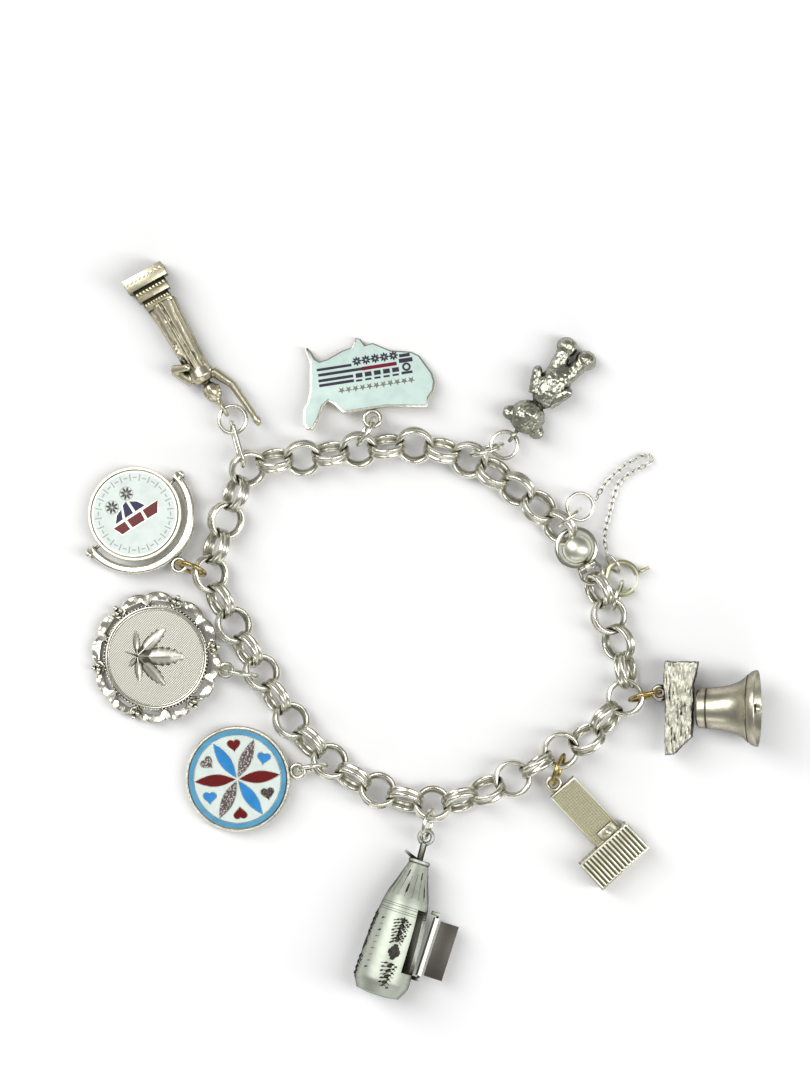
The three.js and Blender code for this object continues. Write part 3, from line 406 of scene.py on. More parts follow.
def florentine(name):
    material, tree, shader, place = new_material(name)
    cuts = []
    for degrees in CUT_ANGLES:
        across = new_node(tree, "Mapping", None, {"Rotation": (0, 0, radians(degrees))}, Vector=place)
        cuts.append(new_node(tree, "TexWave", {"wave_type": "BANDS", "bands_direction": "X"},
                             {"Scale": BANDS_PER_UNIT / (CUT_MM * MM), "Distortion": 0.6, "Detail": 1.0},
                             Vector=across.outputs[0]).outputs["Fac"])
    second = new_node(tree, "Math", {"operation": "MULTIPLY"}, {1: 0.3}, i0=cuts[1]).outputs[0]
    height = new_node(tree, "Math", {"operation": "MULTIPLY_ADD"}, {1: 0.7}, i0=cuts[0], i2=second).outputs[0]
    # The colour darkens with the depth of the cuts: painted shade
    stops = [(0.1, colour("#716f65")), (0.45, colour("#adaba0")), (0.8, colour("#dedcd2"))]
    tone = new_node(tree, "ValToRGB", stops=stops, Fac=height).outputs["Color"]
    dress(tree, shader, tone, height, (0.7, 0.05), {"Metallic": 1.0, "Roughness": 0.42})
    return material


def stippled(name, low, high):
    material, tree, shader, place = new_material(name)
    spots = new_node(tree, "TexVoronoi", None, {"Scale": 1 / (STIPPLE_MM * MM)}, Vector=place)
    marks = spots.outputs["Distance"]
    # The colour darkens where the bump sinks the surface: painted shade
    stops = [(0.12, colour(high)), (0.5, colour(low))]
    tone = new_node(tree, "ValToRGB", stops=stops, Fac=marks).outputs["Color"]
    dress(tree, shader, tone, marks, (0.8, 0.05), {"Metallic": 0.6, "Roughness": 0.45}, invert=True)
    return material


FLORENTINE = florentine("florentine_silver")
STIPPLED = stippled("stippled_silver", "#5d5351", "#dcd8d5")
STIPPLED_DARK = stippled("stippled_dark_silver", "#3a3130", "#8f8682")


# %% [markdown]
# Enamel is coloured glass melted on the silver: a smooth skin with a clear, glossy coat
# and faint clouds in its colour.

# %% Enamels
CLOUD_MM = 1.8


def enamel(name, code, cloud=0.06):
    material, tree, shader, place = new_material(name)
    clouds = new_node(tree, "TexNoise", None, {"Scale": 1 / (CLOUD_MM * MM), "Detail": 5.0},
                      Vector=place).outputs["Fac"]
    base = colour(code)
    deep = tuple(c * (1 - cloud * 3) for c in base[:3]) + (1.0,)
    tone = new_node(tree, "ValToRGB", stops=[(0.35, deep), (0.6, base)], Fac=clouds).outputs["Color"]
    dress(tree, shader, tone, clouds, (0.4, 0.02),
          {"Roughness": 0.3, "Coat Weight": 0.06, "Specular IOR Level": 0.25})
    return material


MINT = enamel("mint_white_enamel", "#e3efe8", 0.03)
MAP_MINT = enamel("mint_enamel", "#d5ebe3", 0.03)
BLUE = enamel("blue_enamel", "#2f8fd6")
RING_BLUE = enamel("ring_blue_enamel", "#5ba3c9")
NAVY = enamel("navy_enamel", "#05044c")
RED = enamel("red_enamel", "#6e0003")
ROSE = enamel("dark_red_enamel", "#7e1c36")
SLATE = enamel("slate_enamel", "#3f3a48")

SILVER = (POLISHED, "silver")

# %% [markdown]
# ## The chain
# Each link is two wire rings side by side, soldered together, and each link stands a
# quarter turn from its neighbours. The route is the one that the solids follow: a smooth
# closed curve through listed points, round which the links are set at equal steps.

# %% The route of the chain
ROUTE = [
    (27.8, 5.6), (30.8, -2.4), (32.2, -10.2), (29.3, -13.8), (26.5, -17.0), (22.4, -18.8),
    (14.8, -23.3), (8.1, -26.1), (3.8, -27.3), (-5.2, -25.5), (-12.7, -21.3), (-19.2, -14.7),
    (-23.9, -7.2), (-28.5, 0.7), (-31.9, 8.4), (-30.8, 12.5), (-29.3, 16.7), (-27.8, 20.7),
    (-25.8, 24.5), (-17.3, 25.9), (-8.7, 27.2), (-0.2, 27.8), (7.6, 25.8), (15.3, 21.1),
    (21.5, 15.6), (24.5, 11.9),
]
TWIST = [(0, 34), (1, 40), (4, -28), (7, 55), (9, 60), (11, 0), (36, 0), (38, 17), (40, 22)]
LINK_COUNT, LOWER_LINKS, FLAT_LEAN = 41, 21, 28
LINK_RADIUS, LINK_WIRE, PAIR_OFFSET = 2.65, 0.4, 0.5
SOLDER_BITE, LOOSE_GAP, LINK_EASE = 0.05, 0.15, 0.38
CLASP_RING, CLASP_WIRE, STAPLE_RADIUS, STAPLE_WIRE = 3.0, 0.38, 1.7, 0.33
INNER_FLAT = (LINK_RADIUS - LINK_WIRE) * cos(pi / 10)
PITCH = 2 * INNER_FLAT + SOLDER_BITE
MEETING = PITCH - SOLDER_BITE - LOOSE_GAP
CLASP_TO_LAST = CLASP_RING - CLASP_WIRE - LOOSE_GAP - LINK_EASE + INNER_FLAT
STAPLE_AT = CLASP_RING + STAPLE_RADIUS - STAPLE_WIRE
CLASP_TO_FIRST = STAPLE_AT + LINK_EASE + INNER_FLAT + LINK_WIRE
LOOP_LENGTH = (LINK_COUNT - 2) * PITCH + MEETING + CLASP_TO_LAST + CLASP_TO_FIRST
SHIFT = Vector((-0.934679, 0.487765, 0.175626))  # the solids were centred by this
CHAIN_HEIGHT = LINK_RADIUS + LINK_WIRE


def smooth_point(points, share, closed=True):
    """A point of the smooth curve through points, the same kind that the solids use."""
    count = len(points)
    spot = (count if closed else count - 1) * share
    index = int(spot) if closed else min(int(spot), count - 2)
    t = spot - index
    if closed:
        p = [points[(index + k) % count] for k in (-1, 0, 1, 2)]
    else:
        p = [points[k] if 0 <= k < count else None for k in range(index - 1, index + 3)]
        p[0] = p[0] if p[0] is not None else 2 * p[1] - p[2]
        p[3] = p[3] if p[3] is not None else 2 * p[2] - p[1]
    d0, d1, d2 = [max((p[k + 1] - p[k]).length, 1e-4) ** 0.5 for k in range(3)]
    t1 = ((p[1] - p[0]) / d0 - (p[2] - p[0]) / (d0 + d1) + (p[2] - p[1]) / d1) * d1
    t2 = ((p[2] - p[1]) / d1 - (p[3] - p[1]) / (d1 + d2) + (p[3] - p[2]) / d2) * d1
    c = 3 * (p[2] - p[1]) - 2 * t1 - t2
    d = 2 * (p[1] - p[2]) + t1 + t2
    return p[1] + t1 * t + c * t * t + d * t ** 3


def measured_curve(points, steps, closed=True):
    """Points of the curve with their distances along it."""
    spots = [smooth_point(points, i / steps, closed) for i in range(steps)]
    spots.append(smooth_point(points, 0) if closed else points[-1].copy())
    lengths = [0.0]
    for a, b in zip(spots, spots[1:]):
        lengths.append(lengths[-1] + (b - a).length)
    return spots, lengths


def along_curve(curve, distance):
    spots, lengths = curve
    low, high = 0, len(lengths) - 1
    while high - low > 1:
        middle = (low + high) // 2
        low, high = (middle, high) if lengths[middle] <= distance else (low, middle)
    share = (distance - lengths[low]) / (lengths[high] - lengths[low])
    return spots[low].lerp(spots[high], share)


flat_route = [Vector((x, y, 0)) for x, y in ROUTE]
plain = measured_curve(flat_route, 2000)
stretch = LOOP_LENGTH / plain[1][-1]
route = measured_curve([point * stretch for point in flat_route], 2000)
print("chain loop", round(LOOP_LENGTH, 2), "mm, route scaled by", round(stretch, 4))


def on_route(distance):
    return along_curve(route, distance % LOOP_LENGTH)


def twist_at(link):
    for (a, low), (b, high) in zip(TWIST, TWIST[1:]):
        if link <= b:
            return low + (high - low) * (link - a) / (b - a)


def link_frame(link):
    """Centre of a link, its direction along the chain, outward across it, and its axis."""
    distance = link * PITCH - (PITCH - MEETING if link >= LOWER_LINKS else 0)
    along = (on_route(distance + PITCH / 2) - on_route(distance - PITCH / 2)).normalized()
    lean = radians(FLAT_LEAN + (link % 2) * 90 + twist_at(link))
    across = Vector((-along.y, along.x, 0)) * cos(lean) + UP * sin(lean)
    centre = on_route(distance) + UP * CHAIN_HEIGHT + SHIFT
    return centre, along, across, along.cross(across)


# %% The links
ROUND_RADIUS = 2.56  # the round rings lie between the corners and the flats of the solids'


def double_link(link):
    """Two wire rings with a fillet of solder between them, as one profile spun round."""
    wire = LINK_WIRE
    right = [(ROUND_RADIUS + wire * cos(radians(a)), PAIR_OFFSET + wire * sin(radians(a)))
             for a in range(-60, 241, 30)]
    left = [(r, -z) for r, z in reversed(right)]
    bm = bmesh.new()
    verts = [bm.verts.new((r, 0, z)) for r, z in right + left]
    for pair in zip(verts, verts[1:] + verts[:1]):
        bm.edges.new(pair)
    spun(bm, 40)
    centre, along, across, axis = link_frame(link)
    return bm, basis(along, across, axis, centre)


def chain_length(name, links):
    halves = [bmesh.new(), bmesh.new()]
    for link in links:
        form, place = double_link(link)
        add(halves[link % 2], form, place)
    fused = combined(*halves)
    return piece(name, fused, [SILVER], sharp=50, reach=2.2)


chain_length("chain_lower", range(LOWER_LINKS))
chain_length("chain_upper", range(LOWER_LINKS, LINK_COUNT))

# %% [markdown]
# ## Jump rings
# Each charm hangs on a ring of drawn wire, bent round and closed with a fine saw cut. The
# cut shows as a thin dark line, so it is a real gap in the wire, not a painted one.

# %% The jump rings, each at its own centre, axis and direction
JUMP_WIRE, SMALL_WIRE = 0.33, 0.27
RINGS = {  # name: centre, axis, direction across it, radius, wire
    "anchor_ring_inner": ((22.432, 17.222, 4.585), (0.6428, -0.766, 0),
        (0.76, 0.6377, -0.1257), 2.1, SMALL_WIRE),
    "anchor_ring_outer": ((24.027, 18.906, 2.827), (0.2728, -0.0311, 0.9616),
        (0.9442, 0.2007, -0.2613), 2.1, SMALL_WIRE),
    "safety_end_ring": ((29.148, 10.117, 2.004), (0.7815, 0.5226, -0.3408),
        (-0.528, 0.845, 0.0849), 1.55, SMALL_WIRE),
    "catch_ring": ((29.856, 5.191, 2.817), (-0.9395, 0.3004, -0.1644),
        (-0.3389, -0.884, 0.3219), 2.331, SMALL_WIRE),
    "hex_jump_ring": ((-17.27, -21.192, 4.064), (-0.161, 0.9719, -0.1715),
        (-0.9693, -0.1884, -0.1578), 2.4, JUMP_WIRE),
    "leaf_jump_ring": ((-28.117, -6.628, 4.123), (0.1564, 0.9877, 0),
        (-0.9767, 0.1547, -0.1485), 2.55, JUMP_WIRE),
    "spinner_jump_ring": ((-35.593, 9.388, 4.094), (0.3606, 0.8967, -0.2568),
        (-0.9324, 0.3394, -0.1243), 2.2, JUMP_WIRE),
    "statue_oval_link": ((-28.578, 28.484, 4.031), (0.9526, 0.2509, -0.1723),
        (-0.2735, 0.9539, -0.1232), 1.75, JUMP_WIRE),
    "statue_jump_ring": ((-29.342, 32.277, 2.973), (0.0464, -0.0218, -0.9987),
        (-0.3743, 0.9265, -0.0376), 2.1, JUMP_WIRE),
    "map_jump_ring": ((-8.813, 30.462, 4.064), (0.8392, -0.5161, -0.1715),
        (0.4937, 0.8552, -0.1578), 2.4, JUMP_WIRE),
    "bear_chain_ring": ((9.696, 27.634, 4.043), (0.3087, -0.9357, -0.171),
        (0.9256, 0.3369, -0.1725), 2.5, JUMP_WIRE),
    "bear_jump_ring": ((12.419, 28.384, 2.923), (-0.0403, -0.0609, -0.9973),
        (0.8811, 0.4685, -0.0642), 2.05, JUMP_WIRE),
    "bell_jump_ring": ((33.949, -10.159, 4.088), (0.2457, -0.9537, 0.1734),
        (0.9645, 0.2584, 0.0548), 2.4, JUMP_WIRE),
    "tower_jump_ring": ((20.646, -21.453, 3.777), (-0.9237, 0.3414, -0.1736),
        (-0.3419, -0.9393, -0.0281), 2.4, JUMP_WIRE),
    "lodge_jump_ring": ((0.663, -29.751, 4.176), (-0.9356, 0.2415, -0.2576),
        (-0.2239, -0.9699, -0.096), 2.3, JUMP_WIRE),
}
OVAL_STRETCH = 1.75
BRASSY_RINGS = ("spinner_jump_ring", "bell_jump_ring", "tower_jump_ring")
SAW_CUT = 2.2  # degrees of the ring left open by the saw


def open_ring(radius, wire, stretch=0.0, cut_at=60):
    bm = bmesh.new()
    wire_start(bm, radius, wire, 12, cut_at + SAW_CUT / 2, filled=True)
    spun(bm, 52, radians(360 - SAW_CUT))
    make_oval(bm, radius, stretch, 2.2)
    return bm


for name, (centre, axis, across, radius, wire) in RINGS.items():
    axis = Vector(axis).normalized()
    across = (Vector(across) - axis * axis.dot(Vector(across))).normalized()
    bm = bmesh.new()
    oval = OVAL_STRETCH if name == "statue_oval_link" else 0.0
    add(bm, open_ring(radius, wire, oval), basis(across, axis.cross(across), axis, Vector(centre)))
    finish = (BRASSY, "brassy_silver") if name in BRASSY_RINGS else SILVER
    piece(name, bm, [finish])

# %% [markdown]
# ## The clasp
# A wire ring carries a hinge and a small staple for the first link. Its domed lid snaps
# down over the last link. The dome is thin sheet pressed in a die, so it is turned here as
# a profile, with a rolled rim.

# %% Clasp ring, staple, hinge and lid
CLASP_FRAME = Matrix.Translation((23.424782, 12.520379, 3.225626)) @ Matrix.Rotation(radians(-58.136), 4, "Z")
HINGE_AT = CLASP_RING + CLASP_WIRE
KNUCKLE, PIN, PIN_GAP, KNUCKLE_WIDE = 0.62, 0.22, 0.18, 0.7
HINGE_HIGH = CLASP_WIRE + KNUCKLE + LOOSE_GAP
SPAN = KNUCKLE_WIDE + 2 * PIN_GAP
PLATE_LOW = CLASP_WIRE + 0.3
CLASP_PLATE, DOME, DOME_HIGH, DOME_AT = 0.4, 2.5, 1.6, 0.12


def along_hinge(middle, long, radius, sides):
    """A rod on the hinge's axis."""
    return rod((HINGE_AT, middle - long / 2, HINGE_HIGH), (HINGE_AT, middle + long / 2, HINGE_HIGH),
               radius, sides=sides)


def knuckle(y):
    """A hinge barrel with a bore for the pin."""
    return without(along_hinge(y, KNUCKLE_WIDE, KNUCKLE, 28), along_hinge(y, 4, PIN + PIN_GAP * 0.6, 20))


bm = bmesh.new()
add(bm, wire_ring(CLASP_RING, CLASP_WIRE, turns=64, sides=16))
add(bm, wire_ring(STAPLE_RADIUS, STAPLE_WIRE), moved(STAPLE_AT))
for side in (-1, 1):
    y = side * (SPAN / 2 + KNUCKLE_WIDE / 2)
    add(bm, knuckle(y))
    tall = HINGE_HIGH - KNUCKLE * 0.8
    add(bm, block((2 * CLASP_WIRE, KNUCKLE_WIDE, tall), (HINGE_AT - CLASP_WIRE / 2, y, tall / 2)))
shift(bm, CLASP_FRAME)
piece("clasp_base", bm, [(BRIGHT, "bright_silver")])

bm = bmesh.new()
top = PLATE_LOW + CLASP_PLATE
bow = [(DOME * sin(radians(a)) * 0.9, top + DOME_HIGH * cos(radians(a)) - 0.05) for a in range(90, -1, -10)]
dome = dish([(0, PLATE_LOW), (DOME * 0.97, PLATE_LOW), (DOME, PLATE_LOW + 0.08), (DOME, top - 0.1),
             (DOME * 0.96, top), (DOME * 0.92, top)] + bow, 64)
bmesh.ops.translate(dome, vec=(DOME_AT, 0, 0), verts=dome.verts)
notch = block((2.3, 3.4, 3.5), (DOME_AT - DOME, 0, 0), 0.1)
add(bm, without(dome, notch))
TONGUE = (DOME_AT + 0.1, HINGE_AT - 0.42)  # it ends inside the barrel's wall, short of the pin
add(bm, block((TONGUE[1] - TONGUE[0], KNUCKLE_WIDE, CLASP_PLATE),
              (sum(TONGUE) / 2, 0, PLATE_LOW + CLASP_PLATE / 2)))
add(bm, knuckle(0))
shift(bm, CLASP_FRAME)
piece("clasp_lid", bm, [(FROSTED, "bright_silver")], "clasp_lid", reach=0.8)

bm = along_hinge(0, 2.4, PIN, 20)
shift(bm, CLASP_FRAME)
piece("clasp_pin", bm, [(BRIGHT, "bright_silver")])

# %% [markdown]
# ## The safety chain
# A fine cable chain of oval links keeps the bracelet on the wrist if the clasp opens. Its
# links are too fine for the solids, where one tube stands for the chain. Here each link is
# a stretched wire ring, and each is turned a quarter from the last.

# %% The fine cable chain
SAFETY_ROUTE = [
    (27.4, 19.4, 1.6), (28.4, 21.2, 0.7), (30.2, 23.3, 0.56), (32.6, 25.2, 0.56), (35.0, 26.3, 0.56),
    (35.9, 26.0, 0.56), (35.6, 25.1, 0.56), (33.4, 23.9, 0.56), (31.2, 22.2, 0.56), (30.2, 19.9, 0.56),
    (29.6, 17.4, 0.56), (29.0, 15.0, 0.7), (28.8, 13.3, 1.2), (29.12, 11.0, 1.95),
]
FINE_RADIUS, FINE_WIRE, FINE_STRETCH, FINE_PITCH = 0.34, 0.1, 0.28, 1.0
FINE_LEAN = (28, 118)  # how far each of two links in turn stands up from the ground
FINE_END = 0.55        # from an end of the route to the first link's middle

fine_route = measured_curve([Vector(point) + SHIFT for point in SAFETY_ROUTE], 600, closed=False)
fine_run = fine_route[1][-1] - 2 * FINE_END
fine_count = int(fine_run / FINE_PITCH) + 1
fine_pitch = fine_run / (fine_count - 1)
halves = [bmesh.new(), bmesh.new()]
for link in range(fine_count):
    at = FINE_END + link * fine_pitch
    here = along_curve(fine_route, at)
    along = (along_curve(fine_route, at + 0.3) - along_curve(fine_route, at - 0.3)).normalized()
    side = along.cross(UP).normalized()
    lift = side.cross(along)
    lean = radians(FINE_LEAN[link % 2])
    axis = side * cos(lean) + lift * sin(lean)
    add(halves[link % 2], wire_ring(FINE_RADIUS, FINE_WIRE, FINE_STRETCH, turns=20, sides=8),
        basis(along, axis.cross(along), axis, here))
piece("safety_chain", combined(*halves), [SILVER], sharp=50, reach=0.8)
print("fine links", fine_count)

# %% The spring ring: a bent tube with a mouth, and the sliding gate inside it
SPRING_RING, SPRING_TUBE, SPRING_BORE, SPRING_PIN = 2.46, 0.5, 0.34, 0.13
MOUTH = (-45, 12)  # degrees between which the ring is open
SLOTTED = 66       # degrees of the tube that carry the slot
SPRING_FRAME = Matrix.Translation((30.465321, 7.887765, 1.425626))


def bent(wire, start, end, sides=20, hollow=0.0):
    """A bent rod from one angle to another about Z, or a tube where it is hollow."""
    bm = bmesh.new()
    wire_start(bm, SPRING_RING, wire, sides, start, filled=not hollow)
    if hollow:
        wire_start(bm, SPRING_RING, hollow, sides, start)
        bmesh.ops.bridge_loops(bm, edges=bm.edges[:])
    spun(bm, max(4, int((end - start) / 6)), radians(end - start))
    return bm


SLOT = range(MOUTH[1] - 4, MOUTH[1] + 61, 4)  # the slot that the gate's nub slides along
bm = bmesh.new()
add(bm, bent(SPRING_TUBE, MOUTH[1] + SLOTTED, 360 + MOUTH[0], hollow=SPRING_BORE))
slot = plate([polar(SPRING_RING, a) for a in SLOT] + [polar(SPRING_RING + 1, a) for a in reversed(SLOT)],
             0.44, -0.22)
add(bm, without(bent(SPRING_TUBE, MOUTH[1], MOUTH[1] + SLOTTED, hollow=SPRING_BORE), slot))
shift(bm, SPRING_FRAME)
piece("spring_ring", bm, [(GILT, "bright_silver")])

bm = bmesh.new()
nub = MOUTH[1] + 9
add(bm, bent(SPRING_PIN, MOUTH[0] - 6, nub + 14, sides=12))
add(bm, rod((*polar(SPRING_RING, nub), 0), (*polar(SPRING_RING + 1.9, nub), 0), 0.12, sides=12))
add(bm, turned([(0, 0), (0, 0.33), (0.15, 0.4), (0.6, 0.3), (1.2, 0.26), (1.45, 0.32), (1.55, 0.2),
                (1.55, 0)], 24),
    moved(*polar(SPRING_RING + SPRING_TUBE + 0.1, nub), 0, nub))
shift(bm, SPRING_FRAME)
piece("spring_ring_gate", bm, [(GILT, "bright_silver")], "spring_ring_gate")


# %% [markdown]
# ## Charms
# Each charm is made lying along X from its bail, which is at the origin, with its face up.
# One matrix a charm lays it where its solid lies: a place, a heading over the ground and a
# small lean that lets its far end touch the ground.

# %% Where the charms lie
def lying(at, heading, lean):
    turned_place = Matrix.Rotation(radians(heading), 4, "Z") @ Matrix.Rotation(asin(lean), 4, "Y")
    return Matrix.Translation(at) @ turned_place


PLACES = {
    "hex": lying((-19.340843, -21.727125, 2.975626), 187.7, 0.122963),
    "leaf": lying((-30.366219, -6.271267, 2.975626), 169.6, 0.096312),
    "spinner": lying((-37.525026, 9.901888, 3.175626), 131.1, 0.126868),
    "lodge": lying((0.369483, -31.846854, 3.275626), -107.9, -0.057168),
    "bell": lying((36.220557, -9.685249, 3.475626), 0, -0.172185),
    "map": lying((-7.857853, 32.376015, 2.975626), 90, 0.195833),
    "tower": lying((19.996021, -23.620133, 2.975626), -47.5, 0.035325),
    "statue": lying((-30.696515, 33.87958, 2.875626), 119.4, 0.002419),
    "bear": lying((13.833714, 29.860233, 2.775626), 53.4, 0.045455),
}
BAIL_RADIUS, BAIL_WIRE = 1.02, 0.33


def bail(place=Matrix(), radius=BAIL_RADIUS):
    return wire_ring(radius, BAIL_WIRE, turns=28), place


def charm(name, bm, where, finishes, body="bracelet", **how):
    shift(bm, PLACES[where])
    return piece(name, bm, finishes, body, **how)


# %% [markdown]
# ## The hex-sign disc
# A farm hex sign in cloisonné: silver walls hold coloured enamel. Six long petals of red,
# blue and bare stippled silver meet in the middle, with a heart between each two, inside a
# blue ring. Each cell is a thin silver plate with a slightly smaller enamel one above it.

# %% Shapes for petals and hearts
HEX_RADIUS, HEX_THICK, HEX_RIM = 8.15, 1.3, 0.45
HEX_AT = (BAIL_RADIUS + BAIL_WIRE / 2 + HEX_RADIUS, 0)


def petal(length, width, start=0.0):
    """A lens that tapers to a point at both ends."""
    side = [(start + length * i / 14, width / 2 * sin(pi * i / 14)) for i in range(15)]
    return side[:-1] + [(x, -y) for x, y in side[:0:-1]]


def heart(size):
    turns = [2 * pi * i / 36 for i in range(36)]
    return [(size * (13 * cos(t) - 5 * cos(2 * t) - 2 * cos(3 * t) - cos(4 * t)) / 17 + size * 0.1,
             size * 16 * sin(t) ** 3 / 17) for t in turns]


def grown(outline, width):
    """The outline moved outward by a width."""
    count = len(outline)
    area = sum(outline[i - 1][0] * outline[i][1] - outline[i][0] * outline[i - 1][1] for i in range(count))
    sign = 1 if area > 0 else -1
    result = []
    for i, (x, y) in enumerate(outline):
        (px, py), (nx, ny) = outline[i - 1], outline[(i + 1) % count]
        span = hypot(nx - px, ny - py) or 1
        result.append((x + sign * (ny - py) / span * width, y - sign * (nx - px) / span * width))
    return result


def annulus(inner, outer, low, high, steps=96):
    return dish([(inner, low), (outer, low), (outer, high), (inner, high)], steps, closed=True)


# %% The disc's silver: tray, rim, cell walls and bail
ENAMEL_BED, ENAMEL_GAP, ENAMEL = 0.4, 0.15, 0.25  # depth of the bed, the gap over it, the enamel
WALL = 0.11                                       # half the width of a cell wall, as seen


def tray(radius, half, rim, soft):
    """A shallow round tray with a rim, in section from the middle of its back to its bed."""
    inner, bed = radius - rim, half - ENAMEL_BED
    return dish([(0, -half), (radius - soft, -half), (radius, -half + soft), (radius, half - soft),
                 (radius - soft, half), (inner + 0.08, half), (inner, half - 0.1), (inner, bed),
                 (0, bed)], 96)


def disc(radius, low, high):
    return dish([(0, low), (radius, low), (radius, high), (0, high)], 96)


half = HEX_THICK / 2
FIELD = half - ENAMEL_BED + ENAMEL_GAP  # height of the enamel's underside
HEX_FACE = FIELD + ENAMEL               # and of its face
inner = HEX_RADIUS - HEX_RIM
bm = bmesh.new()
add(bm, tray(HEX_RADIUS, half, HEX_RIM, 0.12), moved(*HEX_AT))
add(bm, *bail())
charm("hex_disc", bm, "hex", [SILVER])

HEX_PETALS = [(6.5, 2), (67, 3), (124.5, 1), (184, 2), (245.5, 3), (306, 1)]
# Where each heart lies, its finish, and the way its point looks.
HEX_HEARTS = [(96, 2, -84), (38, 1, -100), (-25, 5, -80), (-85, 2, 95), (-145.5, 1, -88), (152.5, 3, -45)]
HEX_HEADING = 187.7
bm = bmesh.new()
add(bm, disc(inner - 0.15, FIELD, HEX_FACE), moved(*HEX_AT))
add(bm, annulus(6.68, 6.8, FIELD, HEX_FACE + 0.05), moved(*HEX_AT), 4)
add(bm, annulus(6.8, 7.55, FIELD, HEX_FACE + 0.03), moved(*HEX_AT), 6)


def walled(shape, wall, low, face, turn, finishes):
    """An enamel cell in its silver wall, both standing a little over the ground."""
    add(bm, slab(grown(shape, wall), low, face[0]), turn, finishes[0])
    add(bm, slab(shape, low, face[1]), turn, finishes[1])


HEX_FACES = (HEX_FACE + 0.04, HEX_FACE + 0.07)  # of a wall, and of the cell in it
for angle, finish in HEX_PETALS:
    turn = moved(*HEX_AT, 0, angle - HEX_HEADING)
    walled(petal(6.3, 1.8, 0.3), WALL, FIELD, HEX_FACES, turn, (4, finish))
for angle, finish, points_at in HEX_HEARTS:
    turn = moved(*polar(5.2, angle - HEX_HEADING, HEX_AT), 0, points_at - 180 - HEX_HEADING)
    walled(heart(1.08), WALL, FIELD, HEX_FACES, turn, (4, finish))
HEX_FINISHES = [MINT, BLUE, RED, STIPPLED, BRIGHT, STIPPLED_DARK, RING_BLUE]
charm("hex_enamel", bm, "hex", [(finish, "enamel") for finish in HEX_FINISHES])

# %% [markdown]
# ## The leaf medallion
# A cast disc with a florentine ground: two sets of fine cuts across each other. A raised
# leaf with six toothed leaflets lies on it, inside a plain rim, in a pierced, scalloped
# frame with clusters of grains.

# %% The frame's outline, its holes and its grains
LEAF_THICK, LEAF_FRAME, LEAF_SINK = 1.5, 10.3, 0.35
LEAF_BEAD, LEAF_FIRST = 0.85, 20
LEAF_AT = (BAIL_RADIUS + BAIL_WIRE / 2 + LEAF_FRAME - 0.5, 0)
leaf_top = LEAF_THICK / 2
leaf_face = leaf_top - LEAF_SINK

# Where each leaflet looks, its length and half its width.
LEAFLETS = [(190, 7.2, 1.55), (144, 6.2, 1.05), (105, 3.9, 0.7), (-124, 6.1, 1.05), (-75, 4.0, 0.6),
            (62, 2.2, 0.4)]


def leaflet(length, half_width, teeth=7, ridge=0.42):
    """A pointed leaflet with a toothed edge, folded along its midrib like a roof."""
    rows = []
    for i in range(teeth):
        t = (i + 0.15) / teeth
        width = half_width * sin(pi * min(1, 0.06 + 0.94 * t)) ** 0.75
        rows += [(length * t, width * 0.94), (length * (t + 0.62 / teeth), width * 1.06)]
    bm = bmesh.new()
    start, end = bm.verts.new((0, 0, 0)), bm.verts.new((length, 0, 0))
    middle = [bm.verts.new((x, 0, ridge * min(1, 3 * x / length, 2.2 * (1 - x / length) + 0.2)))
              for x, _ in rows]
    sides = [[bm.verts.new((x, side * max(y, 0.03), 0)) for x, y in rows] for side in (1, -1)]
    for side in sides:
        bm.faces.new([start, middle[0], side[0]])
        bm.faces.new([end, side[-1], middle[-1]])
        for i in range(len(rows) - 1):
            bm.faces.new([middle[i], middle[i + 1], side[i + 1], side[i]])
    bm.faces.new([start] + sides[0] + [end] + sides[1][::-1])
    bmesh.ops.recalc_face_normals(bm, faces=bm.faces)
    return bm


def from_cluster(angle):
    """Degrees from the nearest grain cluster."""
    away = (angle - LEAF_FIRST) % 60
    return min(away, 60 - away)


def lace_ring(steps=360):
    """The ribbon of the frame: two lobes between clusters, and openings inside them."""
    bm = bmesh.new()
    loops = []
    for step in range(steps):
        angle = 360 * step / steps
        away = from_cluster(angle)
        lobe = abs(sin(pi * min(1, max(0, (away - 6) / 24)))) ** 0.6 if away > 6 else 0.0
        closed = max(0, 1 - away / 7) ** 0.5 + max(0, 1 - (30 - away) / 4.5) ** 0.5
        inner = 8.75 - 0.85 * min(1, closed)
        outer = 9.55 + 0.6 * lobe
        fold = 0.14 * sin(radians(angle * 24)) + 0.16 * lobe
        row = [(inner, lace_low + 0.25), (inner, leaf_face - 0.1), (inner + 0.16, leaf_face + 0.02),
               ((inner + outer) / 2, leaf_face - 0.08 + fold), (outer - 0.22, leaf_face + 0.1),
               (outer, leaf_face - 0.1), (outer, lace_low + 0.25)]
        loops.append([bm.verts.new((*polar(r, angle), z)) for r, z in row])
    for a, b in zip(loops, loops[1:] + loops[:1]):
        for i in range(7):
            bm.faces.new([a[i], b[i], b[(i + 1) % 7], a[(i + 1) % 7]])
    bmesh.ops.recalc_face_normals(bm, faces=bm.faces)
    return bm


